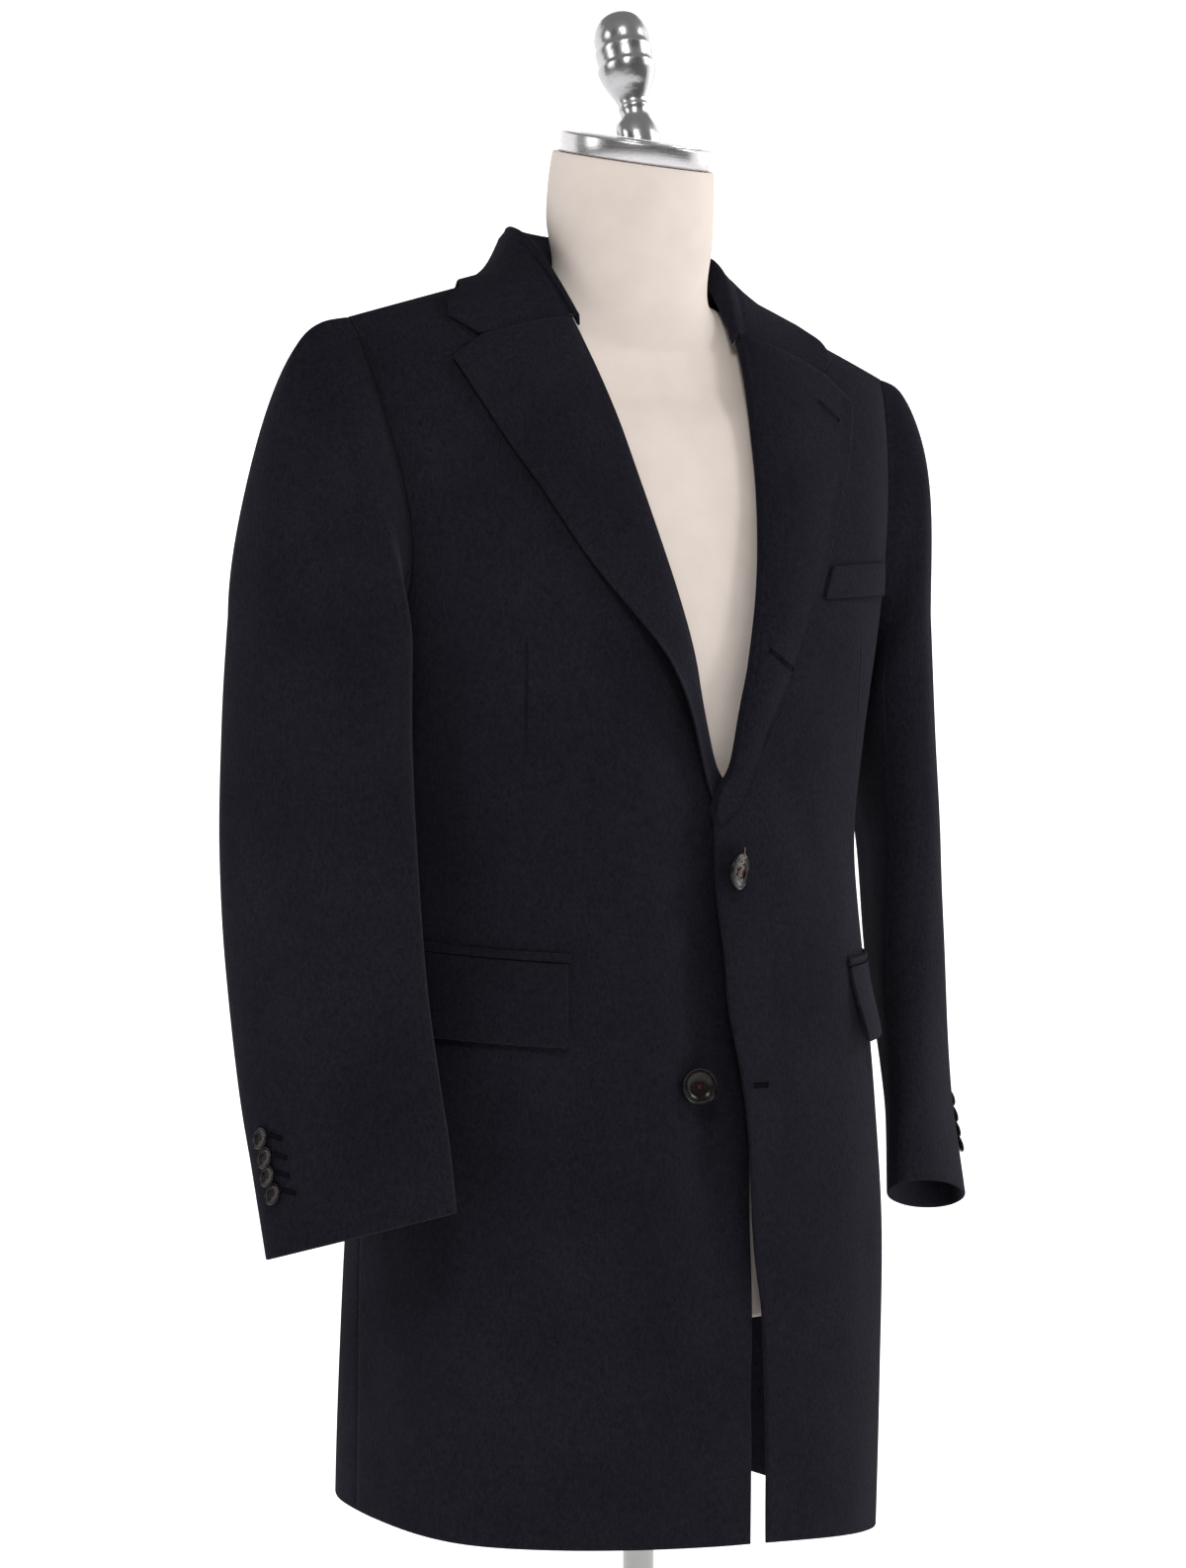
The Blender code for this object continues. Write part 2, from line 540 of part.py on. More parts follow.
def on_body(phi, height, lift):
    """A point over the body under the armpit at a turn and a height, moved out by lift, and its normal."""
    hem = hem_line(phi)
    level = (height - hem) / (ARMPIT - hem)
    normal = shell_normal(phi, level)
    return shell(phi, level) + normal * (lift + drape(phi, height))[..., None], normal


for hand, front, top, turn, deep, rise, flare in zip(*(POCKETS[c] for c in POCKETS)):
    side_name = "left" if hand > 0 else "right"
    down, along = np.meshgrid(np.linspace(0, 1, 5), np.linspace(0, 1, 11), indexing="ij")
    phi = hand * np.radians(front + turn * along)
    corner = 0.0035 * np.clip(1 - along / 0.03, 0, 1) * ease(down, 0.6, 1.0)
    height = top + rise * along - deep * down + corner
    lift = CLEAR + FLAP_WALL + flare * ease(down, 0.0, 1.1) * (1 - 0.5 * along)
    outer, normal = on_body(phi, height, lift)
    wall("flap_" + side_name, outer, outer - normal * FLAP_WALL)
    up, along = np.meshgrid(np.linspace(0, 1, 3), np.linspace(0, 1, 11), indexing="ij")
    phi = hand * np.radians(front - 0.6 + (turn + 1.2) * along)
    outer, normal = on_body(phi, top + rise * along + SEAM + JET_HIGH * up, CLEAR + JET_WALL * (1 + 0 * up))
    wall("jet_" + side_name, outer, outer - normal * JET_WALL)

up, along = np.meshgrid(np.linspace(0, 1, 4), np.linspace(0, 1, 9), indexing="ij")
x = WELT_X[0] + (WELT_X[1] - WELT_X[0]) * along + WELT_SLANT * up * (1 - along)
height = WELT_HEIGHT[0] + (WELT_HEIGHT[1] - WELT_HEIGHT[0]) * along + WELT_HIGH * up
normal = shell_normal(*front_place(x, height))
outer = on_front(x, height, np.full(x.shape, CLEAR + JET_WALL))
wall("breast_welt", outer, outer - normal * JET_WALL)

# ---------------------------------------------------------------- buttons
HORN, HORN_ROUGH = (0.030, 0.020, 0.018), 0.35
FRONT_BUTTON, CUFF_BUTTON = 0.0131, 0.0075     # radii
BUTTON_SIDES = 20
# a button's half section for a radius of 1: out from the axis, and over its underside
DISH = table("out over", (0.60, 0.0), (0.86, 0.06), (1.00, 0.20), (0.98, 0.31), (0.86, 0.36), (0.70, 0.31),
             (0.58, 0.24))


def turned(name, profile, centre, axis, sides, colour, rough, metal=0.0):
    """A closed solid of revolution: profile rows are (radius, distance along the axis)."""
    axis = unit(np.asarray(axis, float))
    first = unit(np.cross(axis, [0, 0, 1.0] if abs(axis[2]) < 0.9 else [1.0, 0, 0]))
    second = np.cross(axis, first)
    turn = np.linspace(0, 2 * math.pi, sides, endpoint=False)
    spokes = np.cos(turn)[:, None] * first + np.sin(turn)[:, None] * second
    rings = [np.asarray(centre) + axis * along + spokes * radius for radius, along in profile]
    return solid(name, rings, colour, rough, metal, closed=True)


def button(name, place, normal, radius):
    turned(name, [(radius * out, radius * over) for out, over in zip(DISH["out"], DISH["over"])],
           place, normal, BUTTON_SIDES, HORN, HORN_ROUGH)


def front_button(name, hand, x, height, lift, turn, tip):
    """A button on its shank over a front's face, turned to the wearer's left and tipped down by some degrees."""
    def face(dx, dh):
        return on_front(x + dx, height + dh, np.array(tuck(hand, x + dx, height + dh)))
    step = 0.004
    normal = unit(np.cross(face(step, 0) - face(-step, 0), face(0, step) - face(0, -step)))
    turn = math.radians(turn)
    axis = normal * math.cos(turn) + unit(np.cross([0, 0, 1.0], normal)) * math.sin(turn)
    axis = unit(axis - np.array([0, 0, math.sin(math.radians(tip))]))
    button(name, face(0, 0) + normal * lift, axis, FRONT_BUTTON)


front_button("front_button_upper", 1, -0.0008, 0.4490, 0.0064, 26, 9)
front_button("front_button_lower", -1, -0.0382, 0.3035, 0.0072, -32, 0)

# kissing buttons up the back of each cuff
CUFF_BUTTONS = table("height around tip", (0.2775, 223.0, 16.0), (0.2655, 222.0, 16.0),
                     (0.2545, 222.5, 16.0), (0.2435, 220.0, 16.0))
LEFT_ROW = 16.0         # the left sleeve is turned, and its row sits this much further round to the back
for side_name, hand in (("left", 1), ("right", -1)):
    for number, (height, around, tip) in enumerate(zip(*(CUFF_BUTTONS[c] for c in CUFF_BUTTONS)), 1):
        around, step = math.radians(around + (LEFT_ROW if hand > 0 else 0)), 0.01
        place = sleeve_ring(hand, np.array(around), height)
        across = sleeve_ring(hand, np.array(around + step), height) - sleeve_ring(hand, np.array(around - step), height)
        down = sleeve_ring(hand, np.array(around), height - step) - sleeve_ring(hand, np.array(around), height + step)
        normal = unit(-hand * np.cross(across, down))
        lean = unit(normal - unit(down) * math.sin(math.radians(tip)))
        button("cuff_button_%s_%d" % (side_name, number), place + normal * 0.0016, lean, CUFF_BUTTON)

# ---------------------------------------------------------------- dress form
CREAM, CREAM_ROUGH = (0.72, 0.64, 0.52), 0.85
STEEL, STEEL_ROUGH = (0.55, 0.55, 0.56), 0.35
FORM_SIDES = 32
# rings up the form: half width, front and back depth, depth of its widest point, height at the front, the
# sides and the back, and the superellipse power
FORM = table("half front back middle at_front at_side at_back square",
             (0.150, 0.078, 0.118, 0.024, 0.135, 0.135, 0.135, 2.25),
             (0.172, 0.094, 0.134, 0.024, 0.142, 0.142, 0.142, 2.25),
             (0.180, 0.097, 0.142, 0.024, 0.165, 0.165, 0.165, 2.25),
             (0.184, 0.096, 0.142, 0.024, 0.270, 0.270, 0.270, 2.25),
             (0.174, 0.087, 0.132, 0.023, 0.370, 0.370, 0.370, 2.25),
             (0.162, 0.081, 0.124, 0.022, 0.460, 0.460, 0.460, 2.25),
             (0.170, 0.083, 0.128, 0.020, 0.530, 0.530, 0.530, 2.25),
             (0.184, 0.084, 0.134, 0.018, 0.600, 0.600, 0.600, 2.25),
             (0.196, 0.074, 0.130, 0.016, 0.672, 0.680, 0.680, 2.25),
             (0.206, 0.060, 0.120, 0.014, 0.726, 0.737, 0.737, 2.25),
             (0.208, 0.045, 0.104, 0.012, 0.762, 0.779, 0.779, 2.25),
             (0.190, 0.030, 0.084, 0.012, 0.783, 0.809, 0.809, 2.25),
             (0.145, 0.022, 0.068, 0.012, 0.800, 0.832, 0.828, 2.10),
             (0.105, 0.018, 0.058, 0.012, 0.812, 0.846, 0.840, 2.00),
             (0.078, 0.022, 0.054, 0.012, 0.822, 0.853, 0.850, 2.00),
             (0.0640, 0.0300, 0.0540, 0.0110, 0.838, 0.860, 0.862, 2.00),
             (0.0590, 0.0400, 0.0590, 0.0100, 0.864, 0.880, 0.884, 2.00),
             (0.0605, 0.0465, 0.0685, 0.0100, 0.888, 0.904, 0.914, 2.00),
             (0.0595, 0.0495, 0.0690, 0.0085, 0.9120, 0.9270, 0.9390, 2.00),
             (0.0578, 0.0515, 0.0640, 0.0062, 0.9360, 0.9500, 0.9640, 2.00),
             (0.0562, 0.0505, 0.0615, 0.0055, 0.9382, 0.9520, 0.9658, 2.00))


def form_ring(i, turn):
    """Points round one ring of the form, 0 at the front."""
    row = {name: float(FORM[name][i]) for name in FORM}
    sine, cosine = np.sin(turn), np.cos(turn)
    side = np.sign(sine) * np.abs(sine) ** (2 / row["square"])
    depth = np.abs(cosine) ** (2 / row["square"])
    reach = np.where(cosine < 0, row["back"] - row["middle"], -row["front"] - row["middle"])
    tip = (row["at_front"] - row["at_back"]) / 2
    bow = (row["at_front"] + row["at_back"]) / 2 - row["at_side"]
    height = row["at_side"] + tip * cosine + bow * cosine ** 2
    return np.stack([row["half"] * side, row["middle"] + reach * depth, height + HEM], axis=-1)


turn = np.linspace(0, 2 * math.pi, FORM_SIDES, endpoint=False)
solid("form_torso", [form_ring(i, turn) for i in range(len(FORM["half"]))], CREAM, CREAM_ROUGH, closed=True)

CAP_TILT = math.radians(13.8)    # the neck's top falls to the front
CAP_AXIS = np.array([0, -math.sin(CAP_TILT), math.cos(CAP_TILT)])
CAP_CENTRE = np.array([0, 0.0055, HEM + 0.9520]) + CAP_AXIS * SEAM
CAP = table("out over", (0.0530, 0.0), (0.0545, 0.0010), (0.0545, 0.0132), (0.0535, 0.0145), (0.0475, 0.0148),
            (0.0440, 0.0136), (0.0430, 0.0152))
turned("neck_cap", list(zip(CAP["out"], CAP["over"])), CAP_CENTRE, CAP_AXIS, 40, STEEL, STEEL_ROUGH, 1.0)

# the cast knob leans back; its foot stands square on the cap
FINIAL = table("over out", (0.0, 0.0160), (0.0063, 0.0158), (0.0100, 0.0143), (0.0158, 0.0106), (0.0200, 0.0104),
               (0.0226, 0.0112), (0.0257, 0.0108), (0.0289, 0.0116), (0.0347, 0.0141), (0.0420, 0.0177),
               (0.0488, 0.0203), (0.0541, 0.0211), (0.0562, 0.0201), (0.0620, 0.0203), (0.0672, 0.0209),
               (0.0698, 0.0203), (0.0793, 0.0197), (0.0866, 0.0173), (0.0919, 0.0135), (0.0950, 0.0085))
FINIAL_LEAN = math.radians(15.6)
start = CAP_CENTRE + CAP_AXIS * (CAP["over"][-1] + SEAM) + np.array([0.0012, -0.0009, 0.0005])
lean = np.array([0, math.sin(FINIAL_LEAN), math.cos(FINIAL_LEAN)])
turn = np.linspace(0, 2 * math.pi, 24, endpoint=False)
rings = []
for over, out in zip(FINIAL["over"], FINIAL["out"]):
    axis = unit(CAP_AXIS + (lean - CAP_AXIS) * ease(over, 0.004, 0.020))
    second = np.cross(axis, [1.0, 0, 0])
    spokes = np.cos(turn)[:, None] * np.array([1.0, 0, 0]) + np.sin(turn)[:, None] * second
    rings.append(start + lean * over + spokes * out)
solid("finial", rings, STEEL, STEEL_ROUGH, 1.0, closed=True)

# ---------------------------------------------------------------- stand
# a round plate with the pole welded to its middle
PLATE_HALF, PLATE_HIGH, POLE_HALF = 0.170, 0.008, 0.011
ENAMEL, ENAMEL_ROUGH = (0.80, 0.80, 0.78), 0.40
POLE_TOP = HEM + FORM["at_side"][0] - SEAM
turned("stand", [(PLATE_HALF - 0.0015, 0.0), (PLATE_HALF, 0.0015), (PLATE_HALF, PLATE_HIGH - 0.002),
                 (PLATE_HALF - 0.002, PLATE_HIGH), (POLE_HALF + 0.006, PLATE_HIGH), (POLE_HALF, PLATE_HIGH + 0.006),
                 (POLE_HALF, POLE_TOP)], (0, 0, 0), (0, 0, 1), 48, ENAMEL, ENAMEL_ROUGH)
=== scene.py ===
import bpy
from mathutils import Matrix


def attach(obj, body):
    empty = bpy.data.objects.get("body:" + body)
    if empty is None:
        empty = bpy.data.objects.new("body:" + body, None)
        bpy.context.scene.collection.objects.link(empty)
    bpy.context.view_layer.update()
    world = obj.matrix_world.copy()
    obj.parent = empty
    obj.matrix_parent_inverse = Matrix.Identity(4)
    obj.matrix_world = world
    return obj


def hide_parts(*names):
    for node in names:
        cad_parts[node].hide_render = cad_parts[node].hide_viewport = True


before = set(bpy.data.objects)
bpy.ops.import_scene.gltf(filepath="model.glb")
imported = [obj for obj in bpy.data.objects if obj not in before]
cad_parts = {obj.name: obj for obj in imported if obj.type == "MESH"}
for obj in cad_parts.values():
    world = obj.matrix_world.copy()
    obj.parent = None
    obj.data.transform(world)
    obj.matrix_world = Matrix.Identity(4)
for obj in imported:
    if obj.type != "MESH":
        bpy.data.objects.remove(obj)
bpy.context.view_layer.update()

import math

import bmesh
import bpy
import numpy as np
from mathutils import Vector

# ==========================================================
# THE ROOM
# A white sweep behind the stand and under it, a dim room on the camera's side, four tall soft boxes
# round it, and the camera at chest height, turned to the wearer's right.
# ==========================================================
# radius and height of each ring of the sweep
BOWL = ((4.6, 0.0), (5.4, 0.12), (6.1, 0.50), (6.6, 1.10), (6.8, 1.9), (6.8, 5.5))
BOWL_SIDES, WORLD_LIGHT = 96, 0.32
TURN_OF_VIEW = math.radians(36)
CAMERA_AWAY, EYE_HEIGHT, LENS_MM = 2.6, 0.629, 83.984
CAMERA_ASIDE = Vector((-0.026, 0.019, 0))
# name, place, what it is aimed at, width and height, and power in watts
LAMPS = (("soft_front", (-1.65, -2.10, 2.60), (0, 0, 0.8), (0.6, 0.9), 40.0),
         ("soft_far", (2.90, -0.10, 1.60), (0.2, 0, 0.8), (0.8, 1.4), 14.0),
         ("soft_left", (-2.61, 0.60, 1.70), (0, 0, 0.8), (0.9, 1.4), 13.0),
         ("soft_right", (2.30, -1.60, 2.30), (0, 0, 0.8), (0.8, 1.1), 34.0))


def put(name, data):
    thing = bpy.data.objects.new(name, data)
    bpy.context.collection.objects.link(thing)
    return thing


def face_out(mesh, shape=None, inward=False):
    """Turn a mesh's faces outward (or inward); shape is what to fill the mesh with, if it is new."""
    if shape is None:
        shape = bmesh.new()
        shape.from_mesh(mesh)
    bmesh.ops.recalc_face_normals(shape, faces=shape.faces)
    if inward:
        bmesh.ops.reverse_faces(shape, faces=shape.faces)
    shape.to_mesh(mesh)
    shape.free()


def material(name, **feeds):
    """A material, its tree and its shader, with some of the shader's inputs set."""
    paint = bpy.data.materials.new(name)
    paint.use_nodes = True
    shader = paint.node_tree.nodes["Principled BSDF"]
    for key, value in feeds.items():
        shader.inputs[key.replace("_", " ")].default_value = value
    return paint, paint.node_tree, shader


def room_paint(name, grey, glow):
    return material(name, Base_Color=(grey, grey, grey, 1), Roughness=0.9, Emission_Color=(1, 1, 1, 1),
                    Emission_Strength=glow)[0]


def bowl():
    shape = bmesh.new()
    rings = []
    around = np.linspace(0, 2 * math.pi, BOWL_SIDES, endpoint=False)
    for radius, height in BOWL:
        rings.append([shape.verts.new((radius * math.sin(turn), radius * math.cos(turn), height))
                      for turn in around])
    shape.faces.new(rings[0][::-1])
    for low, high in zip(rings, rings[1:]):
        for i in range(BOWL_SIDES):
            after = (i + 1) % BOWL_SIDES
            face = shape.faces.new((low[i], low[after], high[after], high[i]))
            face.material_index = int(math.cos(around[i] - TURN_OF_VIEW) < 0.1)
    mesh = bpy.data.meshes.new("studio_bowl")
    face_out(mesh, shape, inward=True)
    mesh.materials.append(room_paint("studio_white", 0.80, 0.80))
    mesh.materials.append(room_paint("studio_dim", 0.18, 0.0))
    put("studio_bowl", mesh)


bowl()
world = bpy.data.worlds.new("studio")
world.use_nodes = True
world.node_tree.nodes["Background"].inputs["Color"].default_value = (1, 1, 1, 1)
world.node_tree.nodes["Background"].inputs["Strength"].default_value = WORLD_LIGHT
bpy.context.scene.world = world
bpy.context.scene.view_settings.view_transform = "Standard"

for name, place, aim, size, power in LAMPS:
    lamp = bpy.data.lights.new(name, "AREA")
    lamp.shape, lamp.size, lamp.size_y, lamp.energy = "RECTANGLE", *size, power
    holder = put(name, lamp)
    holder.location = place
    holder.rotation_euler = (Vector(aim) - Vector(place)).to_track_quat("-Z", "Y").to_euler()

view = Vector((math.sin(TURN_OF_VIEW), math.cos(TURN_OF_VIEW), 0))
camera = put("camera", bpy.data.cameras.new("camera"))
camera.data.lens = LENS_MM
camera.location = CAMERA_ASIDE + Vector((0, 0, EYE_HEIGHT)) - view * (CAMERA_AWAY + CAMERA_ASIDE.dot(view))
camera.rotation_euler = (math.pi / 2, 0, -TURN_OF_VIEW)
bpy.context.scene.camera = camera

# ==========================================================
# WOOL
# Dark navy brushed coating: a fulled wool whose nap lies down the coat. Long and short hairs catch
# the light a little differently, so the ground is finely mottled, and its edges look soft.
# ==========================================================
NAVY, NAVY_HAIR, NAVY_THREAD = (0.0053, 0.0050, 0.0076), (0.0171, 0.0164, 0.0228), (0.003, 0.003, 0.005)
HAIR_SIZE, HAIR_DEPTH, HAIR_LAY, TUFTED, WOOL_SHEEN = 0.00095, 0.0011, 0.60, 0.42, 0.070
LINE_PAINTED_SHADE, LINE_SUNK = -0.45, -1.2      # painted shade: the share of colour a sewn line's groove loses, and what it takes from the nap's height
LINE_FALL = -1.1                       # how fast the line fades, per square millimetre away from it


def node(tree, kind, feeds, **settings):
    """A node with its settings; feeds gives its inputs, each a value or another node's output."""
    made = tree.nodes.new(kind)
    for key, value in settings.items():
        setattr(made, key, value)
    for key, value in feeds.items():
        if isinstance(value, bpy.types.NodeSocket):
            tree.links.new(value, made.inputs[key])
        else:
            made.inputs[key].default_value = value
    return made


def reckon(tree, operation, *values):
    """Output of a Math node over values or other nodes' outputs."""
    return node(tree, "ShaderNodeMath", dict(enumerate(values)), operation=operation).outputs[0]


def group(name, kind, *sockets):
    """An empty node group and its inputs; each socket is a label, INPUT or OUTPUT, and a type."""
    tree = bpy.data.node_groups.new(name, kind)
    for label, way, held in sockets:
        tree.interface.new_socket(label, in_out=way, socket_type="NodeSocket" + held)
    return tree, node(tree, "NodeGroupInput", {}).outputs


def brushed_nap():
    """Node group: mottled colour, with painted shade in the groove of a sewn line, and the bump of hairs
    lying down the cloth.
    """
    tree, given = group("brushed_nap", "ShaderNodeTree", ("Ground", "INPUT", "Color"),
                        ("Hair", "INPUT", "Color"), ("Hair Size", "INPUT", "Float"),
                        ("Depth", "INPUT", "Float"), ("Sewn", "INPUT", "Float"),
                        ("Color", "OUTPUT", "Color"), ("Normal", "OUTPUT", "Vector"))
    place = node(tree, "ShaderNodeTexCoord", {}).outputs["Object"]
    lay = node(tree, "ShaderNodeMapping", {"Vector": place, "Scale": (1.0, 1.0, HAIR_LAY)}).outputs[0]

    def noise(scale, detail, rough, source):
        feeds = {"Vector": source, "Scale": reckon(tree, "DIVIDE", scale, given["Hair Size"]),
                 "Detail": detail, "Roughness": rough}
        return node(tree, "ShaderNodeTexNoise", feeds).outputs["Fac"]

    # single hairs, mixed with the tufts that they gather in
    surface = node(tree, "ShaderNodeMix", {"Factor": TUFTED, "A": noise(1.0, 3.0, 0.70, lay),
                                           "B": noise(0.40, 3.0, 0.6, lay)}).outputs["Result"]
    spread = node(tree, "ShaderNodeMapRange", {"Value": surface, "From Min": 0.32, "From Max": 0.68})
    colour = node(tree, "ShaderNodeMix", {"Factor": spread.outputs["Result"], "A": given["Ground"],
                                          "B": given["Hair"]}, data_type="RGBA")
    # broad clouds, where the cloth was brushed a little more or less
    clouds = node(tree, "ShaderNodeMapRange", {"Value": noise(0.012, 2.0, 0.5, place), "From Min": 0.3,
                                               "From Max": 0.7, "To Min": 0.88, "To Max": 1.12})
    # a sewn line: 1 in its groove, where the nap parts; the groove's shade is painted into the colour there
    light = reckon(tree, "MULTIPLY", reckon(tree, "MULTIPLY_ADD", given["Sewn"], LINE_PAINTED_SHADE, 1.0),
                   clouds.outputs["Result"])
    tone = node(tree, "ShaderNodeVectorMath", {0: colour.outputs["Result"], "Scale": light},
                operation="SCALE")
    height = reckon(tree, "MULTIPLY_ADD", given["Sewn"], LINE_SUNK, surface)
    bump = node(tree, "ShaderNodeBump", {"Strength": 0.7, "Distance": given["Depth"], "Height": height})
    node(tree, "NodeGroupOutput", {"Color": tone.outputs["Vector"], "Normal": bump.outputs["Normal"]})
    return tree


nap = brushed_nap()


def cloth_finish(name, ground, hair, hair_size, depth, sheen, line=None):
    """A wool or thread material. line names two attributes: mm from a sewn line, and its strength, which
    sinks the nap and paints shade into the colour there.
    """
    finish, tree, shader = material(name, Roughness=0.92, Specular_IOR_Level=0.0, Sheen_Weight=sheen,
                                    Sheen_Roughness=0.35, Sheen_Tint=(0.60, 0.60, 0.68, 1))
    pile = node(tree, "ShaderNodeGroup", {}, node_tree=nap)
    for label, value in (("Ground", (*ground, 1)), ("Hair", (*hair, 1)), ("Hair Size", hair_size),
                         ("Depth", depth)):
        pile.inputs[label].default_value = value
    if line:
        away, share = (node(tree, "ShaderNodeAttribute", {}, attribute_name=attribute).outputs["Fac"]
                       for attribute in (line, line + "_share"))
        # the groove's mask, which darkens the colour as painted shade and sinks the nap
        fall = reckon(tree, "MULTIPLY", reckon(tree, "MULTIPLY", away, away), LINE_FALL)
        shown = reckon(tree, "MULTIPLY", reckon(tree, "EXPONENT", fall), share)
        tree.links.new(shown, pile.inputs["Sewn"])
    tree.links.new(pile.outputs["Color"], shader.inputs["Base Color"])
    tree.links.new(pile.outputs["Normal"], shader.inputs["Normal"])
    return finish


wool, wool_with_dart = (cloth_finish(name, NAVY, NAVY_HAIR, HAIR_SIZE, HAIR_DEPTH, WOOL_SHEEN, line)
                        for name, line in (("navy_wool", None), ("navy_wool_dart", "dart_mm")))
thread = cloth_finish("navy_silk_thread", NAVY_THREAD, NAVY, 0.0006, 0.0002, 0.02)

# ==========================================================
# FRONTS AND BACKS
# Four panels of wool and canvas, pressed and eased over the chest, sewn at the sides, the shoulders
# and the middle of the back. The left front laps over the right at the button and both part below.
# ==========================================================
HEM, WALL, SEAM = 0.120, 0.0028, 0.0004
ARMPIT, SHOULDER_HALF, NECK_HALF, SHOULDER_Y = 0.585, 0.2375, 0.076, 0.012
SQUARENESS, SLANT = 2.25, 0.025        # of the body's section, and how much the left shoulder hangs lower
SHOULDER_TOP, SHOULDER_FALL, SHOULDER_FROM, SHOULDER_SOFT = 0.875, 0.335, 0.05, 0.02
NAPE_BACK, NAPE_WIDE = 0.058, 0.056
ARCH_FRONT, ARCH_BACK, ARCH_SIDE = 1.38, 2.2, 1.8
BODY_DEGREE = 0.0030           # how much cloth one degree round the body takes
SIDES = (("left", 1), ("right", -1))


def table(names, *rows):
    """Named columns from rows of numbers."""
    return {name: np.array(column) for name, column in zip(names.split(), zip(*rows))}


def rows_of(tab):
    return zip(*(tab[name] for name in tab))


def read(tab, by, column, at):
    """A smooth curve through one column of a table, level where the column turns."""
    xs, ys = tab[by], tab[column]
    at = np.clip(np.asarray(at, float), xs[0], xs[-1])
    steps = np.diff(ys) / np.diff(xs)
    slopes = np.concatenate([steps[:1], (steps[:-1] + steps[1:]) / 2, steps[-1:]])
    slopes[1:-1] = np.where(steps[:-1] * steps[1:] > 0, slopes[1:-1], 0.0)
    left = np.clip(np.searchsorted(xs, at, side="right") - 1, 0, len(xs) - 2)
    gap = xs[left + 1] - xs[left]
    u = (at - xs[left]) / gap
    rest = 1 - u
    return (ys[left] * rest ** 2 * (1 + 2 * u) + ys[left + 1] * u ** 2 * (3 - 2 * u)
            + gap * u * rest * (slopes[left] * rest - slopes[left + 1] * u))


def ease(value, low, high):
    """0 below low, 1 above high, and a smooth step between them."""
    u = np.clip((value - low) / (high - low), 0, 1)
    return u * u * (3 - 2 * u)


def unit(v):
    return v / np.maximum(np.linalg.norm(v, axis=-1, keepdims=True), 1e-12)


# sections of the body: half width, and the depths of the front and the back, either side of the middle
BODY = table("height half front back middle",
             (-0.04, 0.2005, 0.1190, 0.184, 0.033), (0.080, 0.2020, 0.1220, 0.179, 0.028),
             (0.180, 0.2040, 0.1235, 0.168, 0.026), (0.280, 0.1985, 0.1205, 0.160, 0.026),
             (0.380, 0.1900, 0.1125, 0.150, 0.025), (0.460, 0.1820, 0.1055, 0.143, 0.023),
             (0.530, 0.1910, 0.1030, 0.147, 0.020), (0.590, 0.2020, 0.1020, 0.152, 0.018))
# soft folds that rise from the hem: turn in degrees, spread, how proud, and the height where they end
FOLDS = table("turn spread proud top",
              (-110.0, 11.0, 0.0060, 0.30), (-62.0, 13.0, 0.0025, 0.26), (58.0, 12.0, 0.0015, 0.28),
              (100.0, 9.0, 0.0040, 0.32), (-150.0, 11.0, 0.0045, 0.34), (147.0, 12.0, 0.0040, 0.30))
# creases over the folds: turn and height of the middle, half length, width, depth (+ proud) and lean
CREASES = table("turn height long wide deep lean",
                (-16.0, 0.440, 0.070, 0.016, -0.0016, 0.55), (-30.0, 0.405, 0.085, 0.020, 0.0014, 0.60),
                (-47.0, 0.210, 0.120, 0.022, 0.0013, 0.06), (-33.0, 0.150, 0.100, 0.018, -0.0010, -0.05),
                (-20.0, 0.245, 0.090, 0.017, 0.0010, 0.22), (-75.0, 0.500, 0.060, 0.016, -0.0016, 0.25),
                (-58.0, 0.560, 0.055, 0.017, 0.0012, 0.45), (9.0, 0.490, 0.040, 0.012, 0.0010, -0.55),
                (16.0, 0.505, 0.060, 0.013, -0.0009, -0.62), (38.0, 0.175, 0.110, 0.020, -0.0012, 0.05),
                (52.0, 0.470, 0.060, 0.016, 0.0011, -0.35), (74.0, 0.520, 0.060, 0.015, -0.0014, -0.20),
                (166.0, 0.470, 0.075, 0.020, -0.0018, 0.12), (-163.0, 0.430, 0.070, 0.018, 0.0014, -0.15),
                (140.0, 0.620, 0.060, 0.018, 0.0016, -0.30), (-138.0, 0.640, 0.055, 0.017, 0.0015, 0.35),
                (-128.0, 0.330, 0.090, 0.022, -0.0015, 0.08), (124.0, 0.260, 0.110, 0.020, -0.0016, -0.04))


def hem_line(phi):
    """Height of the hem round the coat: lower in front than behind, and lowest at the left side."""
    return -0.003 - 0.017 * np.cos(phi) + 0.008 * np.cos(2 * phi) - 0.0155 * np.sin(phi)


def shoulder_line(x):
    """Height of the shoulder seam over the hem."""
    out = np.maximum(np.abs(x) - SHOULDER_FROM, 0)
    return SHOULDER_TOP - SHOULDER_FALL * out ** 2 / (out + SHOULDER_SOFT)


def seam_depth(x, inner):
    """How far back the shoulder seam lies; inner is where it stops going back, beside the neck."""
    return SHOULDER_Y + NAPE_BACK * np.exp(-(np.maximum(np.abs(x), inner) / NAPE_WIDE) ** 4)


def arch_power(side, back):
    """How square the body is over the armpit, from its middle (side 0) to the armhole (side 1)."""
    middle = np.where(back, ARCH_BACK, ARCH_FRONT)
    return middle + (ARCH_SIDE - middle) * side ** 2


def half_width(rise, base):
    """Half the body's width, from its base at the armpit to the shoulder as rise goes from 0 to 1."""
    return base + (SHOULDER_HALF - base) * np.sin(rise * math.pi / 2)


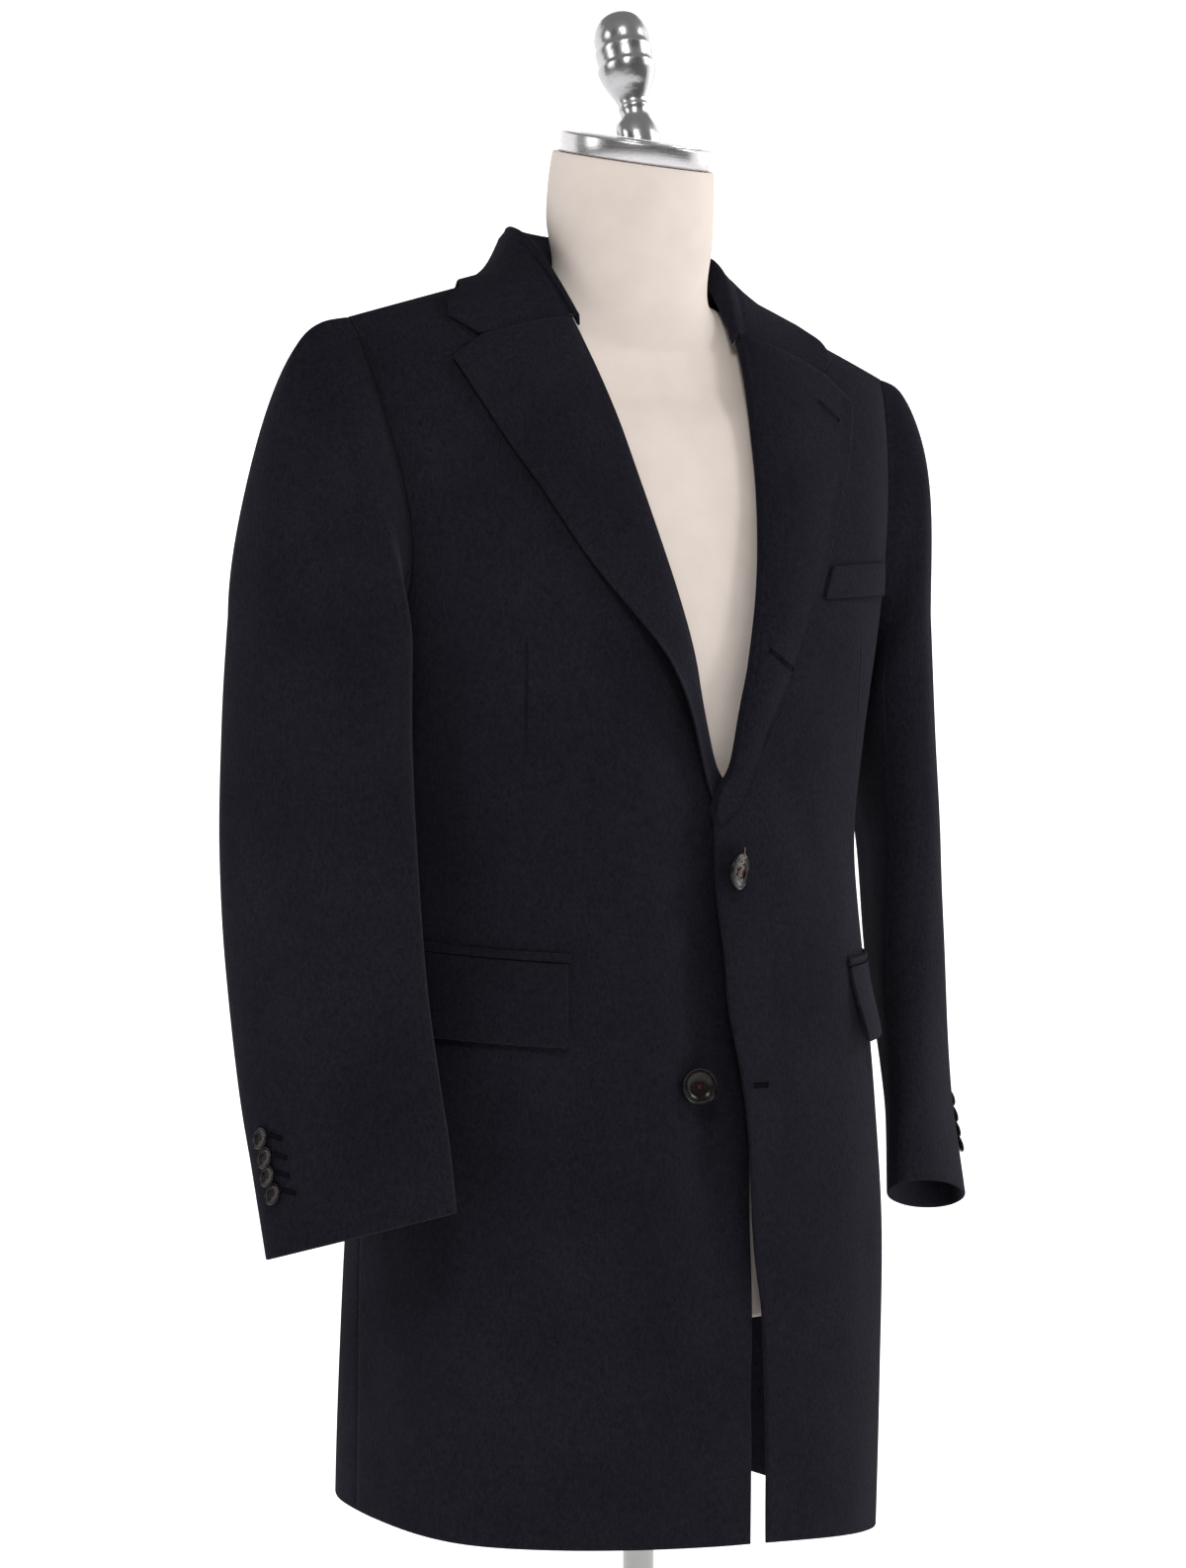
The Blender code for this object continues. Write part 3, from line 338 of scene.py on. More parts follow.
def shell(phi, level):
    """Outer face of the coat's body: phi round it from the front, level 0 hem, 1 armpit, 2 shoulder."""
    phi, level = np.broadcast_arrays(np.asarray(phi, float), np.asarray(level, float))
    sine, cosine = np.sin(phi), np.cos(phi)
    hem = hem_line(phi)
    height = hem + (ARMPIT - hem) * np.clip(level, 0, 1)
    half, front, back, middle = (read(BODY, "height", name, height)
                                 for name in ("half", "front", "back", "middle"))
    side = np.sign(sine) * np.abs(sine) ** (2 / SQUARENESS)
    depth = np.abs(cosine) ** (2 / SQUARENESS)
    behind = cosine < 0
    power = arch_power(side, behind)
    turn = np.clip(level - 1, 0, 1) * math.pi / 2
    rise, arch = np.sin(turn) ** (2 / power), np.maximum(np.cos(turn), 0) ** (2 / power)
    x = half_width(rise, half) * side
    ring = np.where(behind, middle + (back - middle) * depth, middle - (front + middle) * depth)
    line = seam_depth(x, np.where(behind, 0, NECK_HALF))
    height = height + rise * (shoulder_line(x) - ARMPIT - SLANT * x)
    return np.stack([x, line + (ring - line) * arch, height + HEM], axis=-1)


def creased(creases, degrees, degree, height):
    """Soft creases at a turn in degrees and a height; degree is how much cloth one of them takes."""
    out = 0
    for turn, middle, long, wide, deep, lean in rows_of(creases):
        away = ((degrees - turn + 180) % 360 - 180) * degree - lean * (height - middle)
        out = out + deep * np.exp(-(away / wide) ** 2 - ((height - middle) / long) ** 2)
    return out


def drape(phi, height):
    """Folds and creases over the shell at a height over the hem."""
    degrees = np.degrees(phi)
    out = creased(CREASES, degrees, BODY_DEGREE, height)
    for turn, spread, proud, top in rows_of(FOLDS):
        away = (degrees - turn + 180) % 360 - 180
        out = out + proud * np.exp(-(away / spread) ** 2) * (1 - ease(height, 0.0, top))
    return out


def shell_normal(phi, level):
    """Way out of the shell, from points a small step to each side."""
    step = 1e-3
    phi, level = np.broadcast_arrays(np.asarray(phi, float), np.asarray(level, float))
    low, high = np.maximum(level - step, 0), np.minimum(level + step, 2 - 1e-6)
    across = shell(phi + step, level) - shell(phi - step, level)
    return unit(np.cross(across, shell(phi, high) - shell(phi, low)))


def front_place(x, height):
    """phi and level of the chest's point at x and a height over the hem, before the slant."""
    x, height = np.broadcast_arrays(np.asarray(x, float), np.asarray(height, float))
    rise = np.clip((height - ARMPIT) / (shoulder_line(x) - ARMPIT), 0, 1)
    half = half_width(rise, read(BODY, "height", "half", np.minimum(height, ARMPIT)))
    phi = np.sign(x) * np.arcsin(np.clip(np.abs(x) / half, 0, 1) ** (SQUARENESS / 2))
    power = arch_power(np.clip(np.abs(x) / half, 0, 1), False)
    hem = hem_line(phi)
    above = 1 + np.arcsin(np.clip(rise ** (power / 2), 0, 1)) * 2 / math.pi
    return phi, np.where(height > ARMPIT, above, np.clip((height - hem) / (ARMPIT - hem), 0, 1))


def on_front(x, height, lift):
    """A point over the chest at x and a height, moved out by lift, and the normal there."""
    phi, level = front_place(x, height)
    normal = shell_normal(phi, level)
    place = shell(phi, level)
    lift = np.asarray(lift) + drape(phi, place[..., 2] - HEM)
    return place + normal * lift[..., None], normal


EDGE_SOFT = 0.45               # how far a turned edge is rounded, as a share of the cloth's thickness


def cut_piece(name, face, normal, thick, finish, replaces, flat, area,
              held="stretched", rests=("form_torso",)):
    """A piece of cloth under its outer face, with soft turned edges. The size it was cut to (flat and area)
    is not used.
    """
    rows, cols = face.shape[:2]
    out = np.zeros_like(face)
    out[0] += unit(face[0] - face[1])
    out[-1] += unit(face[-1] - face[-2])
    out[:, 0] += unit(face[:, 0] - face[:, 1])
    out[:, -1] += unit(face[:, -1] - face[:, -2])
    face = face - out * thick * EDGE_SOFT
    middle = face - normal * thick / 2
    verts = [face.reshape(-1, 3), (face - normal * thick).reshape(-1, 3)]
    index = np.arange(rows * cols).reshape(rows, cols)
    quads = np.stack([index[:-1, :-1], index[:-1, 1:], index[1:, 1:], index[1:, :-1]], axis=-1)
    quads = quads.reshape(-1, 4)
    faces = [quads, quads[:, ::-1] + rows * cols]
    ring = np.concatenate([index[:, 0], index[-1, 1:], index[-2::-1, -1], index[0, -2:0:-1]])
    loops, at = [ring], 2 * rows * cols
    for angle in np.radians([38, 90, 142]):
        bent = middle + normal * (math.cos(angle) * thick / 2) + out * (math.sin(angle) * thick * EDGE_SOFT)
        verts.append(bent.reshape(-1, 3)[ring])
        loops.append(np.arange(at, at + len(ring)))
        at += len(ring)
    loops.append(ring + rows * cols)
    for a, b in zip(loops, loops[1:]):
        faces.append(np.stack([a, np.roll(a, -1), np.roll(b, -1), b], axis=-1))
    mesh = bpy.data.meshes.new(name)
    mesh.from_pydata(np.concatenate(verts).tolist(), [], np.concatenate(faces).tolist())
    face_out(mesh)
    mesh.shade_smooth()
    mesh.materials.append(finish)
    piece = put(name, mesh)
    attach(piece, "root")
    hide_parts(*replaces)
    return piece


def mark(piece, name, values, on_edge):
    """A number for each point of a cut piece's two faces, and one for its edge, for its finish to read."""
    full = np.full(len(piece.data.vertices), float(on_edge))
    full[:2 * values.size] = np.concatenate([values.ravel(), values.ravel()])
    piece.data.attributes.new(name, "FLOAT", "POINT").data.foreach_set("value", full.astype(np.float32))


# turn of both edges of the armhole, in degrees from its foot to its top
ARMHOLE = table("around front back", (0, 98.0, 98.0), (30, 86.0, 105.0), (60, 73.0, 111.0),
                (90, 68.7, 112.5), (120, 71.5, 110.5), (150, 77.0, 105.0), (180, 84.0, 96.0))
LEFT_EDGE = table("height x", (-0.04, 0.0225), (0.0, 0.0212), (0.05, 0.0203), (0.12, 0.0170),
                  (0.15, 0.0145), (0.18, 0.0092), (0.235, 0.0045), (0.30, -0.0025), (0.37, -0.0128),
                  (0.44, -0.0126), (0.485, -0.0118))
RIGHT_EDGE = table("height x", (-0.04, -0.0078), (0.03, -0.0072), (0.08, -0.0066), (0.14, -0.0108),
                   (0.20, -0.0142), (0.3, -0.0195), (0.4, -0.0250), (0.485, -0.026))
ROLL = table("height x", (0.485, -0.0118), (0.521, 0.002), (0.572, 0.016), (0.601, 0.0235), (0.638, 0.034),
             (0.668, 0.0415), (0.724, 0.053), (0.757, 0.0585), (0.790, 0.0650), (0.812, 0.0695),
             (0.830, 0.0725), (0.850, 0.0745), (0.873, 0.0760))
ROLL_ROUND = 0.0036            # the fold of the lapel goes round the front's edge this far out
LAPEL_FOOT, ROLL_SET, ROLL_COMES = 0.485, 0.521, (0.487, 0.53)
SEAM_FLAT = (1.75, 2.0)        # levels over which the folds end towards the shoulder seam
DART = table("height x", (0.470, 0.1427), (0.540, 0.1448), (0.604, 0.147))
# how strongly the dart shows, as painted shade in its groove and a sunk nap, and the heights over which it
# comes and goes
DART_SHOWN, DART_COMES, DART_GOES = 0.75, (0.500, 0.570), (0.600, 0.612)
FAR_AWAY = 9.0                 # millimetres from the dart, for the edge of the cloth
# how deep each front's edge laps, and the heights over which it comes and goes
LEFT_LAP, LEFT_COMES, LEFT_GOES = 0.0065, (0.20, 0.285), (0.375, 0.445)
RIGHT_LAP, RIGHT_COMES, RIGHT_GOES = 0.0105, (0.05, 0.22), (0.55, 0.68)
BUTTON_LAP, BUTTON_COMES, BUTTON_GOES = 0.0050, (0.14, 0.27), (0.40, 0.47)
SEWN = 0.0005                  # radians that each edge runs past its seam, so that no light comes through
# flat size and area of what each piece shows
FRONT_CUT, BACK_CUT = ((0.300, 0.905), 0.228), ((0.262, 0.905), 0.212)


def own_edge(hand, height):
    """x of a front's own edge at a height: the free edge, and from the lapel up the roll line."""
    low = read(LEFT_EDGE if hand > 0 else RIGHT_EDGE, "height", "x", height)
    blend = ease(height, LAPEL_FOOT, ROLL_SET)
    return np.where(height < LAPEL_FOOT, low, read(ROLL, "height", "x", height) * blend + low * (1 - blend))


def free_edge(hand, level):
    """How far round the body a front's edge is at a level, found by halving."""
    low, high = np.full(level.shape, -0.6), np.full(level.shape, 1.3)
    for _ in range(40):
        middle = (low + high) / 2
        place = shell(hand * middle, level)
        height = place[..., 2] - HEM
        past = hand * place[..., 0] > own_edge(hand, height) + ROLL_ROUND * ease(height, *ROLL_COMES)
        low, high = np.where(past, low, middle), np.where(past, middle, high)
    return middle


def armhole_turn(level, side):
    """Turn of the armhole's front or back edge at a level."""
    rise = np.sin(np.clip(level - 1, 0, 1) * math.pi / 2) ** (2 / ARCH_SIDE)
    around = np.degrees(np.arccos(1 - 2 * rise))
    return np.radians(read(ARMHOLE, "around", side, around))


def between(value, comes, goes):
    """1 between two stretches of values, over which it comes and goes."""
    return ease(value, *comes) * (1 - ease(value, *goes))


def tuck(hand, x, height):
    """How far the left front stands out over the right one, or the right one lies in under it."""
    if hand > 0:
        return LEFT_LAP * (1 - ease(x, -0.012, 0.040)) * between(height, LEFT_COMES, LEFT_GOES)
    deep = RIGHT_LAP + BUTTON_LAP * between(height, BUTTON_COMES, BUTTON_GOES)
    return -deep * ease(x, -0.072, -0.014) * between(height, RIGHT_COMES, RIGHT_GOES)


up_the_panel = np.concatenate([np.linspace(0, 1, 70)[:-1], 1 + np.linspace(0, 1, 70)])


def panel(hand, near, far, share, seam_shift):
    """Outer face of a panel from its near to its far edge, and the normals of the plain shell there."""
    level = np.repeat(up_the_panel[:, None], len(share), 1)
    phi = hand * (near[:, None] + (far - near)[:, None] * share)
    face, normal = shell(phi, level), shell_normal(phi, level)
    height = face[..., 2] - HEM
    normal[-1, :, 1] = 0
    normal = unit(normal)
    lift = drape(phi, height) * (1 - ease(level, *SEAM_FLAT))
    if seam_shift < 0:
        lift = lift + tuck(hand, face[..., 0], height)
    face = face + normal * lift[..., None]
    face[-1, :, 1] += seam_shift
    return face, normal


for side_name, hand in SIDES:
    near, far = free_edge(hand, up_the_panel), armhole_turn(up_the_panel, "front") + SEWN
    face, normal = panel(hand, near, far, np.linspace(0, 1, 56) ** 1.15, -SEAM / 2)
    front = cut_piece("front_of_wool_" + side_name, face, normal, WALL, wool_with_dart,
                      ["front_" + side_name], *FRONT_CUT)
    height = face[..., 2] - HEM
    away = (np.abs(face[..., 0]) - read(DART, "height", "x", height)) * 1000
    # the dart's painted shade and groove: mm from its line, and its strength
    mark(front, "dart_mm", away, FAR_AWAY)
    mark(front, "dart_mm_share", DART_SHOWN * between(height, DART_COMES, DART_GOES), 0)
    near, far = np.full(up_the_panel.shape, math.pi + SEWN), armhole_turn(up_the_panel, "back") - SEWN
    face, normal = panel(hand, near, far, np.linspace(0, 1, 40), SEAM / 2)
    cut_piece("back_of_wool_" + side_name, face, normal, WALL, wool, ["back_" + side_name], *BACK_CUT)

# ==========================================================
# SLEEVES
# Two pieces each, cut with a forward bend, their head eased full into the armhole. The top piece
# carries the buttons along the vent at the back of the cuff.
# ==========================================================
SLEEVES = {
    -1: table("height x y major minor slant tilt lean",
              (0.2075, 0.2505, -0.0270, 0.0722, 0.0248, 0.0195, 0.0, 27.0),
              (0.260, 0.2512, -0.0142, 0.0752, 0.0262, 0.0120, 0.0, 27.0),
              (0.300, 0.2532, -0.0049, 0.0763, 0.0273, 0.0080, 0.0, 27.0),
              (0.380, 0.2562, 0.0087, 0.0765, 0.0296, 0.0, 0.0, 27.0),
              (0.460, 0.2573, 0.0165, 0.0756, 0.0308, 0.0, 0.002, 27.0),
              (0.540, 0.2550, 0.0214, 0.0722, 0.0330, 0.0, 0.018, 27.0),
              (0.605, 0.2500, 0.0240, 0.0692, 0.0340, 0.0, 0.040, 27.0)),
    1: table("height x y major minor slant tilt lean",
             (0.2038, 0.2482, -0.0265, 0.0722, 0.0236, 0.0158, 0.0073, 56.0),
             (0.260, 0.2528, -0.0142, 0.0752, 0.0227, 0.0120, 0.004, 51.0),
             (0.300, 0.2555, -0.0049, 0.0763, 0.0251, 0.0080, 0.0, 47.0),
             (0.380, 0.2573, 0.0087, 0.0765, 0.0301, 0.0, 0.0, 40.0),
             (0.460, 0.2579, 0.0165, 0.0756, 0.0305, 0.0, 0.002, 34.0),
             (0.540, 0.2534, 0.0214, 0.0722, 0.0318, 0.0, 0.018, 30.0),
             (0.605, 0.2492, 0.0240, 0.0692, 0.0325, 0.0, 0.040, 27.0))}
FULLNESS = {-1: 1.20, 1: 0.97}      # how far the sleeve's head swells out over the armhole
# how the sleeve leaves the armhole: its swing, more of it in front and behind, and how it sinks
SWING, SWING_FRONT, SWING_BACK, SINK_TOP, SINK_FOOT, STRAIGHT = 0.16, -0.60, -0.45, 0.16, 0.42, 1.15
HEAD_SWELL, SEAM_IN, SEAM_SUNK, SLEEVE_DEGREE = 0.0012, 0.0016, 0.0008, 0.0009
ARMHOLE_HUB = (0.215, 0.018, HEM + 0.70)
FRONT_SEAM, BACK_SEAM = math.radians(64), math.radians(260)
# creases of the right and of the left sleeve: turn round it, height, half length, width, depth and lean
ARM_CREASES = {
    -1: table("turn height long wide deep lean",
              (196.0, 0.640, 0.090, 0.012, 0.0024, -0.05), (176.0, 0.650, 0.085, 0.010, -0.0018, -0.06),
              (150.0, 0.560, 0.090, 0.013, 0.0014, 0.10), (220.0, 0.470, 0.080, 0.014, -0.0014, 0.18),
              (140.0, 0.430, 0.070, 0.013, -0.0012, -0.22), (185.0, 0.380, 0.080, 0.014, 0.0012, 0.12),
              (118.0, 0.700, 0.060, 0.010, 0.0014, 0.15), (158.0, 0.740, 0.075, 0.008, -0.0036, 0.02),
              (250.0, 0.620, 0.080, 0.012, 0.0016, -0.12), (350.0, 0.480, 0.060, 0.012, -0.0016, 0.25)),
    1: table("turn height long wide deep lean",
             (190.0, 0.630, 0.090, 0.012, 0.0020, 0.05), (172.0, 0.640, 0.085, 0.010, -0.0016, 0.06),
             (120.0, 0.600, 0.100, 0.012, 0.0014, -0.05), (100.0, 0.430, 0.090, 0.012, -0.0014, 0.10),
             (145.0, 0.400, 0.080, 0.013, 0.0014, -0.14), (225.0, 0.470, 0.080, 0.013, -0.0014, -0.18),
             (60.0, 0.400, 0.110, 0.012, 0.0014, 0.03), (248.0, 0.620, 0.080, 0.012, 0.0016, 0.12),
             (10.0, 0.470, 0.060, 0.012, -0.0014, -0.20))}
# from which seam to which, lines round it, and the flat size and area of its cut
SLEEVE_PIECES = (("top_sleeve", FRONT_SEAM, BACK_SEAM, 84, ((0.235, 0.640), 0.110)),
                 ("under_sleeve", BACK_SEAM, 2 * math.pi + FRONT_SEAM, 60, ((0.175, 0.500), 0.074)))


def sleeve_ring(hand, around, height):
    """Points round the sleeve at a height of the table, around 0 on the side next to the body."""
    v = {name: read(SLEEVES[hand], "height", name, height) for name in SLEEVES[hand]}
    sine, cosine, lean = np.sin(around), np.cos(around), np.radians(v["lean"])
    x = v["x"] - v["major"] * sine * np.sin(lean) - v["minor"] * cosine * np.cos(lean)
    y = v["y"] - v["major"] * sine * np.cos(lean) + v["minor"] * cosine * np.sin(lean)
    drop = SLANT * hand * v["x"] * ease(height, 0.1, 0.8)
    z = height + v["slant"] * sine - v["tilt"] * cosine + HEM - drop
    return np.stack([hand * x, y, z], axis=-1)


def armhole_point(hand, around, gap):
    """Points round the armhole, a gap clear of its edge, and the body's normals there."""
    rise = (1 - np.cos(around)) / 2
    degrees = np.degrees(around) % 360
    turn = np.radians(np.where(degrees <= 180, read(ARMHOLE, "around", "front", degrees),
                               read(ARMHOLE, "around", "back", 360 - degrees)))
    level = 1 + np.arcsin(np.clip(rise, 0, 1) ** (ARCH_SIDE / 2)) * 2 / math.pi
    place, normal = shell(hand * turn, level), shell_normal(hand * turn, level)
    normal[..., 1] *= np.clip((2 - level) / 0.05, 0, 1)
    normal = unit(normal)
    lift = drape(hand * turn, place[..., 2] - HEM) * (1 - ease(level, *SEAM_FLAT))
    away = np.array(ARMHOLE_HUB) * (hand, 1, 1) - place
    away = away - normal * np.sum(away * normal, axis=-1, keepdims=True)
    return place + normal * lift[..., None] + unit(away) * gap, normal


def sleeve_face(hand, around, heights):
    """Outer face of the sleeve on lines round it, and the armhole's normals."""
    start, normal = armhole_point(hand, around, 2 * SEAM)
    end = sleeve_ring(hand, around, SLEEVES[hand]["height"][-1])
    sine, cosine = np.sin(around), np.cos(around)
    reach = np.linalg.norm(end - start, axis=-1, keepdims=True)
    swing = SWING + np.where(sine > 0, SWING_FRONT, SWING_BACK) * sine
    leave = np.stack([hand * np.ones_like(sine), swing, -SINK_TOP - SINK_FOOT * (1 + cosine)], axis=-1)
    leave = unit(leave) * FULLNESS[hand]
    arrive = np.array([0, 0, -1.0])
    rows = []
    for u in np.linspace(0, 1, 46, endpoint=False):
        rest = 1 - u
        rows.append(start * rest ** 2 * (1 + 2 * u) + end * u ** 2 * (3 - 2 * u)
                    + reach * u * rest * (leave * rest - arrive * u * STRAIGHT))
    rows += [sleeve_ring(hand, around, height) for height in heights]
    return np.array(rows), normal


def sleeve_grid(hand, around):
    """Outer face of a sleeve's piece with its creases and the turning of its seam, and its normals."""
    heights = np.linspace(SLEEVES[hand]["height"][-1], SLEEVES[hand]["height"][0], 80)
    face, first = sleeve_face(hand, around, heights)
    across = sleeve_face(hand, around + 0.01, heights)[0] - sleeve_face(hand, around - 0.01, heights)[0]
    normal = unit(-hand * np.cross(across, np.gradient(face, axis=0)))
    blend = ease(np.arange(len(face)), 0, 5)[:, None, None]
    normal = unit(first[None] * (1 - blend) + normal * blend)
    height = face[..., 2] - HEM
    lift = creased(ARM_CREASES[hand], np.degrees(around)[None], SLEEVE_DEGREE, height)
    # the head of the sleeve swells a little past the seam that holds it
    row = np.arange(len(face))
    head = np.exp(-((row - 6) / 5.0) ** 2)[:, None] * (1 - np.cos(around)) / 2 * HEAD_SWELL
    lift = (lift + head) * ease(row, 0, 4)[:, None]
    face = face + normal * lift[..., None]
    # the turning of the seam, sunk in the armhole
    sunk = face[0] - unit(face[1] - face[0]) * SEAM_IN - normal[0] * SEAM_SUNK
    return np.concatenate([sunk[None], face]), np.concatenate([normal[:1], normal])


for side_name, hand in SIDES:
    for piece, start, end, lines, cut in SLEEVE_PIECES:
        face, normal = sleeve_grid(hand, np.linspace(start - SEWN, end + SEWN, lines))
        cut_piece(piece + "_of_wool_" + side_name, face, normal, WALL, wool, [piece + "_" + side_name],
                  *cut, held="hung", rests=["front_" + side_name])

# ==========================================================
# LAPELS
# The top of each front folded back along the roll line, faced with wool and padded so that it
# rolls softly from the button up. The gorge seam joins it to the collar.
# ==========================================================
LAPEL_WALL, CLEAR = 0.0024, 0.0005
LAPEL = table("up roll x height",
              (0.00, 0.488, -0.0090, 0.4800), (0.07, 0.512, 0.0080, 0.4935), (0.22, 0.560, 0.0385, 0.5480),
              (0.38, 0.612, 0.0710, 0.6020), (0.56, 0.672, 0.1065, 0.6625), (0.70, 0.722, 0.1310, 0.7070),
              (0.82, 0.763, 0.1490, 0.7370), (0.92, 0.797, 0.1645, 0.7680), (1.00, 0.829, 0.1750, 0.7915))
LAPEL_CUT = ((0.165, 0.400), 0.031)
GORGE_BOW, GORGE_CORNER = 0.0078, 0.745
TURNED_IN = (0.012, 0.006)     # how far the cloth runs on behind the front's edge
UNDER_COLLAR = ((0.0006, 0.0003), (0.0030, 0.0016))        # how far past the gorge seam, and how deep
CROWN = 0.0042                 # how far the padding swells the lapel
# the right lapel stands off the chest round this place up it: by how much, and how far in it is drawn
OFF_AT, OFF_SPREAD, STANDS_OFF, DRAWN_IN, EDGE_OFF, SPARE = 0.31, 0.17, 0.013, 0.009, 0.0018, 0.0013


def lapel_face(hand, up, out):
    """Outer face of the lapel: up from the button, out from the roll line, and its normals."""
    roll = read(LAPEL, "up", "roll", up)
    soft = ROLL_ROUND * ease(roll, *ROLL_COMES)
    away = np.exp(-((up - OFF_AT) / OFF_SPREAD) ** 2) * (hand < 0)
    start, end = own_edge(1, roll) + soft, read(LAPEL, "up", "x", up) - DRAWN_IN * away
    bow = np.interp(out, [0, GORGE_CORNER, 1], [0, 1, 0]) * GORGE_BOW * ease(up, 0.86, 1.0)
    x = hand * (start + (end - start) * out)
    height = roll + (read(LAPEL, "up", "height", up) - roll) * out + bow
    crown = CROWN * np.sin(math.pi * np.clip(out * 1.12, 0, 1) ** 0.7) * ease(up, 0.02, 0.35)
    spare = SPARE * (1 - ease(up, 0.3, 0.6)) * (hand < 0)
    off = STANDS_OFF * away * out ** 1.6 + EDGE_OFF * (hand < 0) * out ** 3
    lift = CLEAR + spare + LAPEL_WALL + crown + off
    return on_front(x, height, np.minimum(tuck(hand, x, height), 0) + lift)


for side_name, hand in SIDES:
    lowest = 0 if hand > 0 else 0.03
    up, out = np.meshgrid(np.linspace(lowest, 1, 110), np.linspace(0, 1, 40) ** 1.1, indexing="ij")
    face, normal = lapel_face(hand, up, out)
    # the fold: from the face round the front's edge to its inner side
    away = unit(face[:, 0] - face[:, 1])
    away = unit(away - normal[:, 0] * np.sum(away * normal[:, 0], axis=-1, keepdims=True))
    half = (WALL + CLEAR) / 2 + LAPEL_WALL
    soft = ease(read(LAPEL, "up", "roll", up[:, 0]), *ROLL_COMES)[:, None]
    centre = face[:, 0] - normal[:, 0] * half
    wrap, wrap_normal = [], []
    for angle in np.radians(np.linspace(180, 0, 12, endpoint=False)):
        ray = unit(normal[:, 0] * math.cos(angle) + away * math.sin(angle))
        wrap.append(centre + normal[:, 0] * (math.cos(angle) * half)
                    + away * (math.sin(angle) * ROLL_ROUND) * soft)
        wrap_normal.append(ray)
    inside = [wrap[0] - away * back for back in TURNED_IN]
    face = np.concatenate([np.stack(inside + wrap, axis=1), face], axis=1)
    normal = np.concatenate([np.stack([wrap_normal[0]] * 2 + wrap_normal, axis=1), normal], axis=1)
    # its top runs a little way in under the collar, so that the gorge closes
    past = unit(face[-1] - face[-2])
    under = [face[-1] + past * along - normal[-1] * sunk for along, sunk in UNDER_COLLAR]
    face = np.concatenate([face, np.stack(under)])
    normal = np.concatenate([normal, np.stack([normal[-1]] * 2)])
    cut_piece("lapel_of_wool_" + side_name, face, normal, LAPEL_WALL, wool, ["lapel_" + side_name],
              *LAPEL_CUT, held="folded", rests=["front_" + side_name])

# ==========================================================
# COLLAR
# A stand that rises round the neck and the fall that rolls over it and lies on the shoulders,
# meeting the lapels at the notches.
# ==========================================================
# from the nape (turn 0) to the point (turn 1): the fold, the edge of the fall and the stand's seam
COLLAR = table("turn fold_x fold_y fold_h edge_x edge_y seam_x seam_y seam_h",
               (0.00, 0.0000, 0.0900, 0.9050, 0.0000, 0.1150, 0.0000, 0.0695, 0.8805),
               (0.25, 0.0450, 0.0790, 0.9045, 0.0620, 0.1040, 0.0400, 0.0560, 0.8805),
               (0.45, 0.0745, 0.0520, 0.9020, 0.1100, 0.0680, 0.0600, 0.0330, 0.8790),
               (0.60, 0.0840, 0.0240, 0.8930, 0.1340, 0.0300, 0.0705, 0.0160, 0.8745),
               (0.75, 0.0815, 0.0030, 0.8740, 0.1500, 0.0050, 0.0700, 0.0010, 0.8590),
               (0.90, 0.0752, -0.0140, 0.8490, 0.1640, -0.0080, 0.0690, -0.0130, 0.8390),
               (1.00, 0.0715, -0.0240, 0.8330, 0.1690, -0.0172, 0.0675, -0.0215, 0.8260))
# the fall's end, from the fold along the gorge seam and over the notch to the point
GORGE = table("share x height", (0.0, 0.0760, 0.8310), (0.2, 0.0900, 0.8268), (0.42, 0.1080, 0.8222),
              (0.64, 0.1300, 0.8166), (0.82, 0.1505, 0.8108), (1.0, 0.1690, 0.8235))
COLLAR_WALL, FOLD_ROUND, COLLAR_CUT = 0.0026, 0.0034, ((0.420, 0.115), 0.040)
REST = CLEAR + COLLAR_WALL / 2 + 0.0006        # from the shoulder to the middle of the collar's cloth
OVER_SEAM = 0.0014             # more air where the fall crosses the ridge of the shoulder seam
LEAF_FOOT = 0.8515             # height of the fall's edge at the nape, where it hangs clear of the back
LEAF = np.linspace(0.0, 1, 19)[1:]


def on_shoulder(x, y, lift):
    """A point over the shoulders at x and y, moved out by lift. Its turn and level are found in steps."""
    x, y = np.broadcast_arrays(np.asarray(x, float), np.asarray(y, float))
    phi, level = np.zeros(x.shape), np.full(x.shape, 1.9)
    behind = y > seam_depth(x, NECK_HALF)
    for _ in range(12):
        power = arch_power(np.abs(np.sin(phi)) ** (2 / SQUARENESS), behind)
        rise = np.sin((level - 1) * math.pi / 2) ** (2 / power)
        side = np.clip(np.abs(x) / half_width(rise, read(BODY, "height", "half", ARMPIT)), 0, 1)
        ahead = np.arcsin(side ** (SQUARENESS / 2))
        phi = np.sign(x + 1e-12) * np.where(behind, math.pi - ahead, ahead)
        ring = shell(phi, 1.0)[..., 1]
        line = seam_depth(x, np.where(behind, 0, NECK_HALF))
        arch = np.clip((y - line) / (ring - line), 0, 1)
        level = 1 + np.arccos(arch ** (arch_power(side, behind) / 2)) * 2 / math.pi
    return shell(phi, level) + shell_normal(phi, level) * np.asarray(lift)[..., None]


